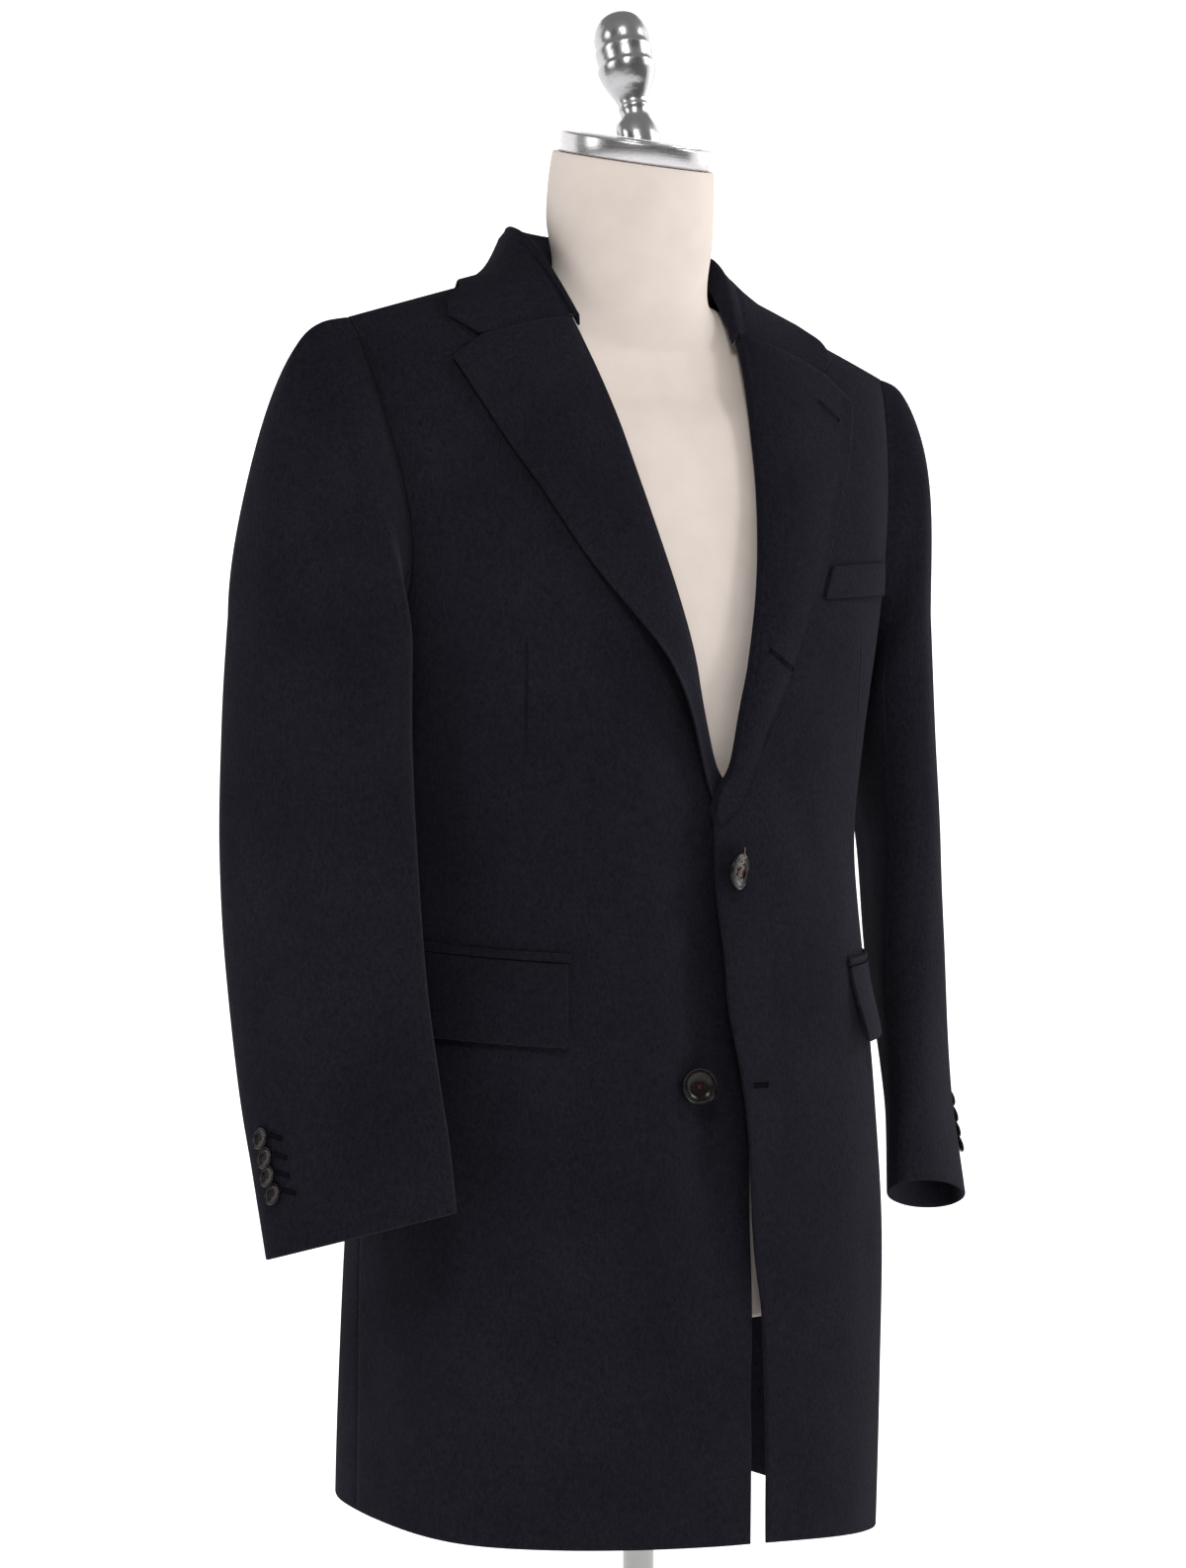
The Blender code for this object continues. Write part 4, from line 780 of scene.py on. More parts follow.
def collar_line(hand, turn):
    """Middle of the collar's cloth, from the sewn edge over the fold to the outer edge."""
    v = {name: read(COLLAR, "turn", name, turn) for name in COLLAR}
    fall = HEM - SLANT * hand * v["fold_x"]
    fold = np.array([v["fold_x"], v["fold_y"], v["fold_h"] + fall])
    seam = np.array([v["seam_x"], v["seam_y"], v["seam_h"] + fall])
    edge = np.array([v["edge_x"], v["edge_y"]])
    size = FOLD_ROUND * (1 - 0.45 * ease(turn, 0.7, 1.0))
    side = np.append(unit(edge - fold[:2]) * size, 0)
    drop = np.array([0, 0, size])
    hub = fold - drop
    inner = fold - side - drop
    stand = [seam + (inner - seam) * share for share in np.linspace(0, 1, 9)[:-1]]
    bend = [hub - side * math.cos(a) + drop * math.sin(a) for a in np.linspace(0, math.pi, 9)]
    start = bend[-1]
    plan = start[None, :2] + (edge - start[:2])[None] * LEAF[:, None]
    lift = REST + OVER_SEAM * (1 - ease(turn, 0.8, 1.0))
    rest = on_shoulder(hand * plan[:, 0], plan[:, 1], np.full(len(LEAF), lift))
    foot = on_shoulder(hand * edge[0], edge[1], lift)[2]
    foot = foot + max(LEAF_FOOT + HEM - foot, 0) * (1 - ease(turn, 0.25, 0.55))
    free = foot + (start[2] - foot) * (1 - LEAF) ** 1.5
    front = ease(turn, 0.72, 1.0)
    height = np.maximum(free, rest[:, 2]) * (1 - front) + rest[:, 2] * front
    leaf = np.column_stack([rest[:, 0], rest[:, 1], height])
    line = np.array(stand + bend)
    line[:, 0] *= hand
    return np.concatenate([line, leaf])


def collar_side(hand, turns):
    """Lines of one half of the collar from the nape to its point, drawn to the gorge seam at the front."""
    lines = np.array([collar_line(hand, turn) for turn in turns])
    x, height = (np.interp(LEAF, GORGE["share"], GORGE[name]) for name in ("x", "height"))
    gorge = on_front(hand * x, height, np.full(len(LEAF), REST))[0]
    pull = gorge - collar_line(hand, 1.0)[-len(LEAF):]
    lines[:, -len(LEAF):] += pull * ease(turns, 0.72, 1.0)[:, None, None]
    return lines


turns = np.linspace(0, 1, 60)
middle = np.concatenate([collar_side(-1, turns)[:0:-1], collar_side(1, turns)])
normal = unit(np.cross(np.gradient(middle, axis=1), np.gradient(middle, axis=0)))
cut_piece("collar_of_wool", middle + normal * COLLAR_WALL / 2, normal, COLLAR_WALL, wool, ["collar"],
          *COLLAR_CUT, held="folded", rests=["back_left", "back_right"])

# ==========================================================
# POCKETS
# A flapped pocket low on each front, its flap hanging from under a narrow jet of the same wool, and
# the welt of the breast pocket, set on beside the left lapel and sewn down at its ends.
# ==========================================================
FLAP_WALL, JET_WALL, JET_HIGH = 0.0028, 0.0022, 0.0062
FLAP_CUT, JET_CUT, WELT_CUT = ((0.152, 0.058), 0.0084), ((0.155, 0.010), 0.0012), ((0.098, 0.026), 0.0024)
# turn of the front end, height, turn across the flap, its depth, how much its back end rises, its flare
POCKETS = table("hand front top turn deep rise flare",
                (1, 36.5, 0.3790, 53.0, 0.0540, 0.0060, 0.0060),
                (-1, 38.0, 0.3880, 52.0, 0.0565, 0.0090, 0.0022))
FLAP_LONG = 0.150
WELT_X, WELT_HEIGHT, WELT_HIGH, WELT_SLANT = (0.0995, 0.190), (0.6400, 0.6480), 0.0245, 0.0135
CORNER_ROUND = 0.0022          # radius of the flaps' corners
FLAP_PROUD = 0.0022            # how much more than its flare a flap stands off the body at its lower edge


def on_body(phi, height, lift):
    """A point over the body under the armpit at a turn and a height, moved out by lift, and its normal."""
    hem = hem_line(phi)
    level = (height - hem) / (ARMPIT - hem)
    normal = shell_normal(phi, level)
    return shell(phi, level) + normal * (lift + drape(phi, height))[..., None], normal


for hand, front, top, turn, deep, rise, flare in rows_of(POCKETS):
    side_name = "left" if hand > 0 else "right"
    down, along = np.meshgrid(np.linspace(0, 1, 30), np.linspace(0, 1, 80), indexing="ij")
    near_end = np.clip(1 - np.minimum(along, 1 - along) * FLAP_LONG / CORNER_ROUND, 0, 1)
    corner = CORNER_ROUND * (1 - np.sqrt(1 - near_end ** 2)) * ease(down, 0.5, 1.0)
    height = top + rise * along - deep * down + corner
    swell = 0.0007 * np.sin(9 * along + 2 * down) * down
    lift = CLEAR + FLAP_WALL + (flare + FLAP_PROUD) * ease(down, 0.0, 1.1) * (1 - 0.6 * along) + swell
    face, normal = on_body(hand * np.radians(front + turn * along), height, lift)
    cut_piece("flap_of_wool_" + side_name, face, normal, FLAP_WALL, wool, ["flap_" + side_name],
              *FLAP_CUT, rests=["front_" + side_name])
    up, along = np.meshgrid(np.linspace(0, 1, 9), np.linspace(0, 1, 80), indexing="ij")
    height = top + rise * along + SEAM + JET_HIGH * up
    lift = CLEAR + JET_WALL + 0.0007 * np.sin(math.pi * up)
    face, normal = on_body(hand * np.radians(front - 0.6 + (turn + 1.2) * along), height, lift)
    cut_piece("jet_of_wool_" + side_name, face, normal, JET_WALL, wool, ["jet_" + side_name],
              *JET_CUT, rests=["front_" + side_name])

up, along = np.meshgrid(np.linspace(0, 1, 14), np.linspace(0, 1, 50), indexing="ij")
x = WELT_X[0] + (WELT_X[1] - WELT_X[0]) * along + WELT_SLANT * up * (1 - along)
height = WELT_HEIGHT[0] + (WELT_HEIGHT[1] - WELT_HEIGHT[0]) * along + WELT_HIGH * up
face, normal = on_front(x, height, np.full(x.shape, CLEAR + JET_WALL))
cut_piece("breast_welt_of_wool", face, normal, JET_WALL, wool, ["breast_welt"],
          *WELT_CUT, rests=["front_left"])

# ==========================================================
# BUTTONHOLES
# Worked buttonholes of navy silk twist, in the left front, its lapel and both cuffs: close stitches
# along both sides of a slit, with a bar at the end.
# ==========================================================
BARE_WOOL, STITCH_GAP = 0.0004, 0.00095        # from the cloth to a stitch, and from stitch to stitch
STITCH_LONG, STITCH_THICK = 0.0019, 0.0006
SLIT_HALF, BAR_HALF, BAR_PAST = 0.0011, 0.0014, 0.0006
OVER_LAPEL = CLEAR + LAPEL_WALL + 0.0040
# x and height of both ends, and how far over the front the cloth lies there
CHEST_HOLES = (((0.0066, 0.3022), (0.0207, 0.3022), 0.0), ((0.0337, 0.6012), (0.0541, 0.5885), OVER_LAPEL),
               ((0.1280, 0.7853), (0.1438, 0.7728), OVER_LAPEL))


def sewing_tree():
    """Node group that lays a stitch at each point of a mesh, along the point's own way."""
    tree, given = group("sewing", "GeometryNodeTree", ("Geometry", "INPUT", "Geometry"),
                        ("Length", "INPUT", "Float"), ("Thickness", "INPUT", "Float"),
                        ("Material", "INPUT", "Material"), ("Geometry", "OUTPUT", "Geometry"))
    points = node(tree, "GeometryNodeMeshToPoints", {"Mesh": given["Geometry"]})
    stitch = node(tree, "GeometryNodeMeshUVSphere", {"Segments": 7, "Rings": 5, "Radius": 0.5})
    lie = node(tree, "GeometryNodeInputNamedAttribute", {"Name": "way"}, data_type="FLOAT_VECTOR")
    turn = node(tree, "FunctionNodeAlignRotationToVector", {"Vector": lie.outputs["Attribute"]}, axis="Z")
    size = node(tree, "ShaderNodeCombineXYZ", {"X": given["Thickness"], "Y": given["Thickness"],
                                               "Z": given["Length"]})
    copies = node(tree, "GeometryNodeInstanceOnPoints", {
        "Points": points.outputs["Points"], "Instance": stitch.outputs["Mesh"],
        "Rotation": turn.outputs["Rotation"], "Scale": size.outputs["Vector"]})
    real = node(tree, "GeometryNodeRealizeInstances", {"Geometry": copies.outputs["Instances"]})
    dyed = node(tree, "GeometryNodeSetMaterial", {"Geometry": real.outputs["Geometry"],
                                                  "Material": given["Material"]})
    node(tree, "NodeGroupOutput", {"Geometry": dyed.outputs["Geometry"]})
    return tree


sewing = sewing_tree()


def stitches(name, places, ways, length, thickness, finish):
    """Short stitches at points of the cloth, each lying along its own way."""
    mesh = bpy.data.meshes.new(name)
    mesh.from_pydata([tuple(map(float, place)) for place in places], [], [])
    lie = mesh.attributes.new("way", "FLOAT_VECTOR", "POINT")
    lie.data.foreach_set("vector", np.asarray(ways, np.float32).ravel())
    holder = put(name + "_points", mesh)
    needle = holder.modifiers.new("sewing", "NODES")
    needle.node_group = sewing
    values = {"Length": length, "Thickness": thickness, "Material": finish}
    for item in sewing.interface.items_tree:
        if item.in_out == "INPUT" and item.name in values:
            needle[item.identifier] = values[item.name]
    sewn = bpy.data.meshes.new_from_object(holder.evaluated_get(bpy.context.evaluated_depsgraph_get()))
    bpy.data.objects.remove(holder)
    sewn.shade_smooth()
    piece = put(name, sewn)
    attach(piece, "root")


def buttonhole(start, end, out):
    """Places and ways of the stitches round one slit between two points of the cloth."""
    start, end = np.asarray(start), np.asarray(end)
    along = unit(end - start)
    across = np.cross(unit(np.asarray(out)), along)
    places, ways = [], []
    count = int(np.linalg.norm(end - start) / STITCH_GAP)
    for share in np.linspace(0, 1, count):
        for side in (-1, 1):
            places.append(start + (end - start) * share + across * side * SLIT_HALF + out * BARE_WOOL)
            ways.append(across + along * 0.12 * side)
    for side in np.linspace(-1, 1, 5):
        places.append(end + along * BAR_PAST + across * side * BAR_HALF + out * BARE_WOOL)
        ways.append(along + across * 0.1 * side)
    return places, ways


def chest_hole(start, end, lift):
    """A buttonhole in the left front or its lapel, between two points given by x and height."""
    x, height = np.array([start, end]).T
    ends, out = on_front(x, height, tuck(1, x, height) + lift)
    return buttonhole(ends[0], ends[1], unit(out.sum(axis=0)))


holes = [chest_hole(*hole) for hole in CHEST_HOLES]
CUFF_BUTTONS = table("height around tip", (0.2775, 223.0, 16.0), (0.2655, 222.0, 16.0),
                     (0.2545, 222.5, 16.0), (0.2435, 220.0, 16.0))
LEFT_ROW = 16.0                # degrees that the left sleeve's row sits further round to the back


def cuff_place(hand, around, height):
    """A point on the sleeve's face, the normal there and the way down the sleeve."""
    step = 0.01
    around = np.radians(around + (LEFT_ROW if hand > 0 else 0))
    across = sleeve_ring(hand, around + step, height) - sleeve_ring(hand, around - step, height)
    down = unit(sleeve_ring(hand, around, height - step) - sleeve_ring(hand, around, height))
    return sleeve_ring(hand, around, height), unit(-hand * np.cross(across, down)), down


# both ends of a buttonhole at the cuff: degrees in front of its button, and how much higher
CUFF_HOLE = ((7.0, 0.002), (15.0, -0.001))
for _, hand in SIDES:
    for height, around, _ in rows_of(CUFF_BUTTONS):
        (start, out, _), (end, _, _) = (cuff_place(hand, around - ahead, height + over)
                                        for ahead, over in CUFF_HOLE)
        holes.append(buttonhole(start, end, out))
places, ways = (sum(lists, []) for lists in zip(*holes))
stitches("buttonhole_stitches", places, ways, STITCH_LONG, STITCH_THICK, thread)

# ==========================================================
# BUTTONS
# Polished dark horn, turned with a thin rim, a step and a dish, and sewn through four holes with
# red-brown thread. Two larger ones close the front, four small ones kiss up the back of each cuff.
# ==========================================================
FRONT_BUTTON, CUFF_BUTTON, CUFF_SHANK = 0.0131, 0.0075, 0.0016
# everything on a button as a share of its radius: its section, its holes and the thread across them
DISH = table("out over", (0.0, 0.02), (0.60, 0.0), (0.86, 0.06), (0.975, 0.15), (1.00, 0.22), (0.985, 0.30),
             (0.945, 0.345), (0.90, 0.335), (0.875, 0.295), (0.845, 0.300), (0.80, 0.325), (0.72, 0.315),
             (0.62, 0.270), (0.57, 0.225), (0.52, 0.205), (0.30, 0.195), (0.0, 0.19))
HOLE_OUT, HOLE_HALF = 0.20, 0.078
THREAD_OVER, THREAD_LONG, THREAD_THICK = 0.215, 0.50, 0.055
DRILL_PAST = 0.004             # how far a drill reaches past both sides of the button


def ramp(tree, value, *stops):
    """Colours over a value from 0 to 1; each stop is a place and a colour."""
    tone = node(tree, "ShaderNodeValToRGB", {"Fac": value})
    for element, (at, colour) in zip(tone.color_ramp.elements, stops):
        element.position, element.color = at, (*colour, 1)
    return tone.outputs["Color"]


def horn_finish():
    finish, tree, shader = material("dark_horn", Roughness=0.24, Specular_IOR_Level=0.18)
    place = node(tree, "ShaderNodeTexCoord", {}).outputs["Object"]
    streak = node(tree, "ShaderNodeTexNoise", {"Vector": place, "Scale": 160.0, "Detail": 3.0,
                                               "Distortion": 1.5})
    colour = ramp(tree, streak.outputs["Fac"], (0.35, (0.0030, 0.0022, 0.0023)),
                  (0.75, (0.013, 0.009, 0.009)))
    tree.links.new(colour, shader.inputs["Base Color"])
    return finish


def square_to(axis):
    """Two ways square to an axis and to each other."""
    first = unit(np.cross(axis, [0, 0, 1.0] if abs(axis[2]) < 0.9 else [1.0, 0, 0]))
    return first, np.cross(axis, first)


def lathe(shape, rows, middle, axis, count):
    """Add a solid of revolution to a shape, from (radius, distance along the axis) rows."""
    first, second = square_to(axis)
    turn = np.linspace(0, 2 * math.pi, count, endpoint=False)
    spokes = np.cos(turn)[:, None] * first + np.sin(turn)[:, None] * second
    rings = []
    for radius, along in rows:
        if radius == 0:
            rings.append([shape.verts.new(middle + axis * along)] * count)
        else:
            rings.append([shape.verts.new(p) for p in middle + axis * along + spokes * radius])
    for a, b in zip(rings, rings[1:]):
        for i in range(count):
            quad = [a[i], a[(i + 1) % count], b[(i + 1) % count], b[i]]
            shape.faces.new(list(dict.fromkeys(quad)))


def turned(name, profile, centre, axis, sides, finish, holes=()):
    """A turned piece with round holes cut along its axis, each a distance out, a turn and a radius."""
    centre, axis = np.asarray(centre), unit(np.asarray(axis, float))
    shape, mesh = bmesh.new(), bpy.data.meshes.new(name)
    lathe(shape, profile, centre, axis, sides)
    face_out(mesh, shape)
    piece = put(name, mesh)
    if holes:
        shape, mesh = bmesh.new(), bpy.data.meshes.new(name + "_drill")
        (first, second), over, under = square_to(axis), profile[-1][1] + DRILL_PAST, -DRILL_PAST
        for out, turn, radius in holes:
            middle = centre + (first * math.cos(turn) + second * math.sin(turn)) * out
            lathe(shape, [(0, under), (radius, under), (radius, over), (0, over)], middle, axis, 14)
        face_out(mesh, shape)
        drill = put(name + "_drill", mesh)
        cut = piece.modifiers.new("holes", "BOOLEAN")
        cut.operation, cut.solver, cut.object = "DIFFERENCE", "EXACT", drill
        seen = piece.evaluated_get(bpy.context.evaluated_depsgraph_get())
        drilled = bpy.data.meshes.new_from_object(seen)
        piece.modifiers.remove(cut)
        piece.data = drilled
        bpy.data.objects.remove(drill)
    piece.data.materials.clear()
    piece.data.materials.append(finish)
    piece.data.shade_smooth()
    piece.data.set_sharp_from_angle(angle=math.radians(50))
    return piece


horn = horn_finish()
red_thread = cloth_finish("red_brown_thread", (0.060, 0.012, 0.012), (0.11, 0.03, 0.025),
                          0.0004, 0.0001, 0.05)
crossing = {FRONT_BUTTON: ([], []), CUFF_BUTTON: ([], [])}


def button(name, place, axis, radius, node_name):
    """A button with four holes, and the two threads that cross between them."""
    profile = [(radius * out, radius * over) for out, over in rows_of(DISH)]
    corners = [(radius * HOLE_OUT, math.radians(45 + 90 * i), radius * HOLE_HALF) for i in range(4)]
    piece = turned(name, profile, place, axis, 48, horn, corners)
    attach(piece, "root")
    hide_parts(node_name)
    first, second = square_to(unit(axis))
    for turn in np.radians((45, 135)):
        crossing[radius][0].append(place + unit(axis) * radius * THREAD_OVER)
        crossing[radius][1].append(first * math.cos(turn) + second * math.sin(turn))


def front_button(name, node_name, hand, x, height, lift, turn, tip):
    """A button over a front, its axis turned sideways and tipped down from the cloth's normal."""
    def face(dx, dh):
        x_here = np.array(x + dx)
        return on_front(x_here, np.array(height + dh), tuck(hand, x_here, height + dh))[0]
    step = 0.004
    normal = unit(np.cross(face(step, 0) - face(-step, 0), face(0, step) - face(0, -step)))
    turn = math.radians(turn)
    axis = normal * math.cos(turn) + unit(np.cross([0, 0, 1.0], normal)) * math.sin(turn)
    axis = unit(axis - np.array([0, 0, math.sin(math.radians(tip))]))
    place = face(0, 0) + normal * lift
    button(name, place, axis, FRONT_BUTTON, node_name)
    return place, axis


upper_place, upper_axis = front_button("horn_button_upper", "front_button_upper", 1,
                                       -0.0008, 0.4490, 0.0064, 26, 9)
front_button("horn_button_lower", "front_button_lower", -1, -0.0382, 0.3035, 0.0072, -32, 0)
for side_name, hand in SIDES:
    for number, (height, around, tip) in enumerate(rows_of(CUFF_BUTTONS), 1):
        place, normal, down = cuff_place(hand, around, height)
        button("horn_cuff_button_%s_%d" % (side_name, number), place + normal * CUFF_SHANK,
               unit(normal - down * math.sin(math.radians(tip))), CUFF_BUTTON,
               "cuff_button_%s_%d" % (side_name, number))

for radius, (places, ways) in crossing.items():
    stitches("sewing_thread_%d_mm" % round(radius * 2000), places, ways,
             radius * THREAD_LONG, radius * THREAD_THICK, red_thread)

# loose ends of pale tacking thread, caught over the upper button and standing off its rim
tacking = cloth_finish("pale_tacking_thread", (0.28, 0.18, 0.14), (0.42, 0.32, 0.27), 0.0006, 0.0001, 0.1)
up_button = unit(np.array([0, 0, 1.0]) - upper_axis * upper_axis[2])
to_side = np.cross(up_button, upper_axis)
places, ways = [], []
TANGLE = table("side up out", (0.10, -0.25, 0.30), (-0.35, -0.05, 0.38), (-0.05, 0.20, 0.45),
               (-0.45, 0.38, 0.40), (0.05, 0.48, 0.42), (-0.50, 0.66, 0.50), (-0.05, 0.80, 0.55),
               (-0.30, 1.02, 0.60), (-0.10, 1.28, 0.50))
TANGLE["at"] = np.linspace(0, 1, len(TANGLE["up"]))
TACK_LONG, TACK_THICK = 0.0010, 0.00034
for strand, (bend, shift) in enumerate(((1.0, 0.0), (0.55, 0.10))):
    share = np.linspace(0, 1 - 0.25 * strand, 60)
    side, up, out = (read(TANGLE, "at", name, share)[:, None] for name in ("side", "up", "out"))
    line = to_side * (side * bend + shift) + up_button * up + upper_axis * out
    line = upper_place + FRONT_BUTTON * line
    places.extend((line[1:] + line[:-1]) / 2)
    ways.extend(unit(line[1:] - line[:-1]))
stitches("loose_tacking_thread", places, ways, TACK_LONG, TACK_THICK, tacking)

# ==========================================================
# DRESS FORM
# A firm torso covered in cream cotton, its neck closed by a brushed metal cap that tips forward,
# with a cast knob on it. The form is bare of lettering.
# ==========================================================
# half width, depth to the front and the back, middle, heights at the front, the side and the back
FORM = table("half front back middle at_front at_side at_back square",
             (0.150, 0.078, 0.118, 0.024, 0.135, 0.135, 0.135, 2.25),
             (0.172, 0.094, 0.134, 0.024, 0.142, 0.142, 0.142, 2.25),
             (0.180, 0.097, 0.142, 0.024, 0.165, 0.165, 0.165, 2.25),
             (0.184, 0.096, 0.142, 0.024, 0.270, 0.270, 0.270, 2.25),
             (0.174, 0.087, 0.132, 0.023, 0.370, 0.370, 0.370, 2.25),
             (0.162, 0.081, 0.124, 0.022, 0.460, 0.460, 0.460, 2.25),
             (0.170, 0.083, 0.128, 0.020, 0.530, 0.530, 0.530, 2.25),
             (0.184, 0.084, 0.134, 0.018, 0.600, 0.600, 0.600, 2.25),
             (0.196, 0.074, 0.130, 0.016, 0.672, 0.680, 0.680, 2.25),
             (0.206, 0.060, 0.120, 0.014, 0.726, 0.737, 0.737, 2.25),
             (0.208, 0.045, 0.104, 0.012, 0.762, 0.779, 0.779, 2.25),
             (0.190, 0.030, 0.084, 0.012, 0.783, 0.809, 0.809, 2.25),
             (0.145, 0.022, 0.068, 0.012, 0.800, 0.832, 0.828, 2.10),
             (0.105, 0.018, 0.058, 0.012, 0.812, 0.846, 0.840, 2.00),
             (0.078, 0.022, 0.054, 0.012, 0.822, 0.853, 0.850, 2.00),
             (0.0640, 0.0300, 0.0540, 0.0110, 0.838, 0.860, 0.862, 2.00),
             (0.0590, 0.0400, 0.0590, 0.0100, 0.864, 0.880, 0.884, 2.00),
             (0.0605, 0.0465, 0.0685, 0.0100, 0.888, 0.904, 0.914, 2.00),
             (0.0595, 0.0495, 0.0690, 0.0085, 0.9120, 0.9270, 0.9390, 2.00),
             (0.0578, 0.0515, 0.0640, 0.0062, 0.9360, 0.9500, 0.9640, 2.00),
             (0.0562, 0.0505, 0.0615, 0.0055, 0.9382, 0.9520, 0.9658, 2.00))
FORM["ring"] = np.arange(len(FORM["half"]))


def form_rings(at, turn):
    """Rings of the form at places up the table, 0 the foot and 20 the neck's top."""
    row = {name: read(FORM, "ring", name, at)[:, None] for name in FORM}
    sine, cosine = np.sin(turn)[None], np.cos(turn)[None]
    side = np.sign(sine) * np.abs(sine) ** (2 / row["square"])
    depth = np.abs(cosine) ** (2 / row["square"])
    reach = np.where(cosine < 0, row["back"] - row["middle"], -row["front"] - row["middle"])
    tip = (row["at_front"] - row["at_back"]) / 2
    bow = (row["at_front"] + row["at_back"]) / 2 - row["at_side"]
    height = row["at_side"] + tip * cosine + bow * cosine ** 2
    return np.stack([row["half"] * side, row["middle"] + reach * depth, height + HEM], axis=-1)


def closed_rings(name, rings, finish):
    """A smooth closed solid through rings of points."""
    count, size = rings.shape[:2]
    index = np.arange(count * size).reshape(count, size)
    after = np.roll(index, -1, axis=1)
    quads = np.stack([index[:-1], after[:-1], after[1:], index[1:]], axis=-1).reshape(-1, 4).tolist()
    mesh = bpy.data.meshes.new(name)
    ends = [index[0][::-1].tolist(), index[-1].tolist()]
    mesh.from_pydata(rings.reshape(-1, 3).tolist(), [], quads + ends)
    face_out(mesh)
    mesh.materials.append(finish)
    mesh.shade_smooth()
    mesh.set_sharp_from_angle(angle=math.radians(45))
    piece = put(name, mesh)
    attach(piece, "root")
    return piece


def cotton_finish():
    """Cream cotton, faintly mottled, with the bump of its weave."""
    finish, tree, shader = material("cream_cotton", Roughness=0.85, Specular_IOR_Level=0.3)
    place = node(tree, "ShaderNodeTexCoord", {}).outputs["Object"]
    mottle = node(tree, "ShaderNodeTexNoise", {"Vector": place, "Scale": 40.0, "Detail": 4.0})
    colour = ramp(tree, mottle.outputs["Fac"], (0.3, (0.690, 0.605, 0.545)), (0.7, (0.735, 0.648, 0.590)))
    weft, warp = (node(tree, "ShaderNodeTexWave", {"Vector": place, "Scale": 420.0, "Distortion": 0.6},
                       bands_direction=direction) for direction in ("Z", "X"))
    weave = reckon(tree, "MULTIPLY", weft.outputs["Fac"], warp.outputs["Fac"])
    bump = node(tree, "ShaderNodeBump", {"Strength": 0.25, "Distance": 0.00025, "Height": weave})
    tree.links.new(colour, shader.inputs["Base Color"])
    tree.links.new(bump.outputs["Normal"], shader.inputs["Normal"])
    return finish


turn = np.linspace(0, 2 * math.pi, 160, endpoint=False)
rings_up = np.unique(np.concatenate([np.linspace(0, 19, 153), np.linspace(19, 20, 5)]))
torso = closed_rings("cotton_form", form_rings(rings_up, turn), cotton_finish())
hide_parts("form_torso")


def metal_finish(name, colour, rough, grain, scale, depth):
    """Bare metal, its surface broken by a grain stretched as the scale says."""
    finish, tree, shader = material(name, Metallic=1.0, Base_Color=(*colour, 1))
    place = node(tree, "ShaderNodeTexCoord", {}).outputs["Object"]
    lay = node(tree, "ShaderNodeMapping", {"Vector": place, "Scale": scale}).outputs["Vector"]
    noise = node(tree, "ShaderNodeTexNoise", {"Vector": lay, "Scale": grain, "Detail": 3.0}).outputs["Fac"]
    bump = node(tree, "ShaderNodeBump", {"Strength": 0.6, "Distance": depth, "Height": noise})
    wear = node(tree, "ShaderNodeMapRange", {"Value": noise, "To Min": rough - 0.08,
                                             "To Max": rough + 0.10})
    tree.links.new(wear.outputs["Result"], shader.inputs["Roughness"])
    tree.links.new(bump.outputs["Normal"], shader.inputs["Normal"])
    return finish


CAP_TILT = math.radians(13.8)
CAP_AXIS = np.array([0, -math.sin(CAP_TILT), math.cos(CAP_TILT)])
CAP_CENTRE = np.array([0, FORM["middle"][-1], HEM + FORM["at_side"][-1]]) + CAP_AXIS * SEAM
CAP = table("out over", (0.0, 0.0), (0.0530, 0.0), (0.0542, 0.0004), (0.0545, 0.0012), (0.0545, 0.0130),
            (0.0542, 0.0140), (0.0534, 0.0146), (0.0478, 0.0148), (0.0472, 0.0138), (0.0440, 0.0136),
            (0.0434, 0.0150), (0.0424, 0.0153), (0.0, 0.0153))
cap = turned("brushed_cap", list(rows_of(CAP)), CAP_CENTRE, CAP_AXIS, 128,
             metal_finish("brushed_metal", (0.56, 0.545, 0.555), 0.26, 90.0, (1.0, 1.0, 14.0), 0.00006))
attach(cap, "root")
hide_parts("neck_cap")

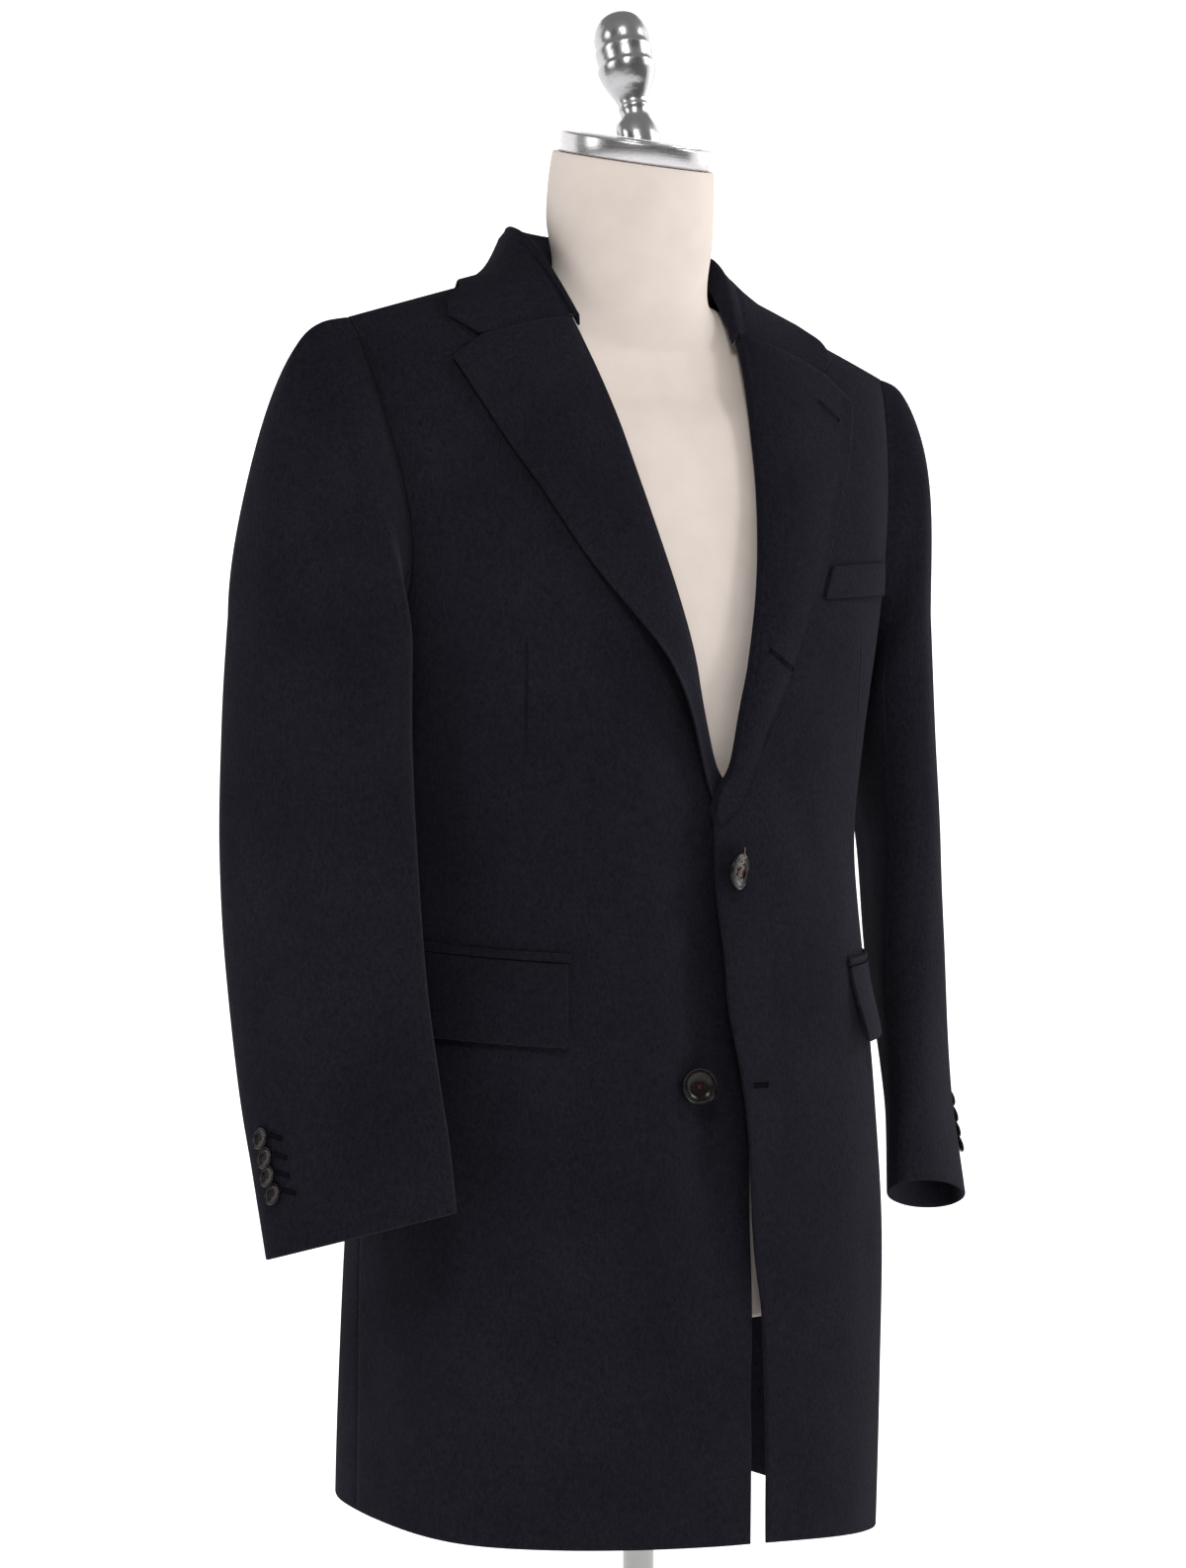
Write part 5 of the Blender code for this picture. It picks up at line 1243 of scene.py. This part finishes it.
FINIAL = table("over out", (0.0, 0.0160), (0.0063, 0.0158), (0.0100, 0.0143), (0.0158, 0.0106),
               (0.0200, 0.0104), (0.0226, 0.0112), (0.0257, 0.0108), (0.0289, 0.0116), (0.0347, 0.0141),
               (0.0420, 0.0177), (0.0488, 0.0203), (0.0541, 0.0211), (0.0562, 0.0201), (0.0620, 0.0203),
               (0.0672, 0.0209), (0.0698, 0.0203), (0.0793, 0.0197), (0.0866, 0.0173), (0.0919, 0.0135),
               (0.0950, 0.0085))
FINIAL_LEAN, FINIAL_FOOT = math.radians(15.6), 0.0152
FINIAL_ASIDE = np.array([0.0012, -0.0009, 0.0005])
start = CAP_CENTRE + CAP_AXIS * (FINIAL_FOOT + SEAM) + FINIAL_ASIDE
lean = np.array([0, math.sin(FINIAL_LEAN), math.cos(FINIAL_LEAN)])
over = np.linspace(0, FINIAL["over"][-1], 90)
out = read(FINIAL, "over", "out", over)
axis = unit(CAP_AXIS + (lean - CAP_AXIS) * ease(over, 0.004, 0.020)[:, None])
turn = np.linspace(0, 2 * math.pi, 64, endpoint=False)
second = np.cross(axis, [1.0, 0, 0])
spokes = np.cos(turn)[None, :, None] * np.array([1.0, 0, 0]) + np.sin(turn)[None, :, None] * second[:, None]
uneven = 1 + 0.012 * np.sin(3 * turn + 1)[None] * ease(over, 0.02, 0.05)[:, None]
rings = start + (lean * over[:, None])[:, None] + spokes * (out[:, None] * uneven)[..., None]
knob = closed_rings("cast_knob", rings,
                    metal_finish("cast_metal", (0.47, 0.465, 0.475), 0.24, 60.0, (1.0, 1.0, 1.0), 0.0012))
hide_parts("finial")

# ==========================================================
# STAND
# A steel pole with a rounded weld at its foot, on a heavy round plate that keeps the form from
# tipping. Both are enamelled white, and the pole ends at the foot of the form.
# ==========================================================
PLATE_HALF, PLATE_HIGH, POLE_HALF = 0.170, 0.008, 0.011
POLE_TOP = HEM + FORM["at_side"][0] - SEAM
STAND = ((0, 0), (PLATE_HALF - 0.0015, 0), (PLATE_HALF, 0.0015), (PLATE_HALF, PLATE_HIGH - 0.002),
         (PLATE_HALF - 0.002, PLATE_HIGH), (POLE_HALF + 0.006, PLATE_HIGH),
         (POLE_HALF + 0.002, PLATE_HIGH + 0.0015), (POLE_HALF, PLATE_HIGH + 0.006),
         (POLE_HALF, POLE_TOP), (0, POLE_TOP))
enamel = material("white_enamel", Base_Color=(0.86, 0.86, 0.85, 1), Roughness=0.35)[0]
stand = turned("enamelled_stand", STAND, (0, 0, 0), (0, 0, 1), 128, enamel)
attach(stand, "root")
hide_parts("stand")
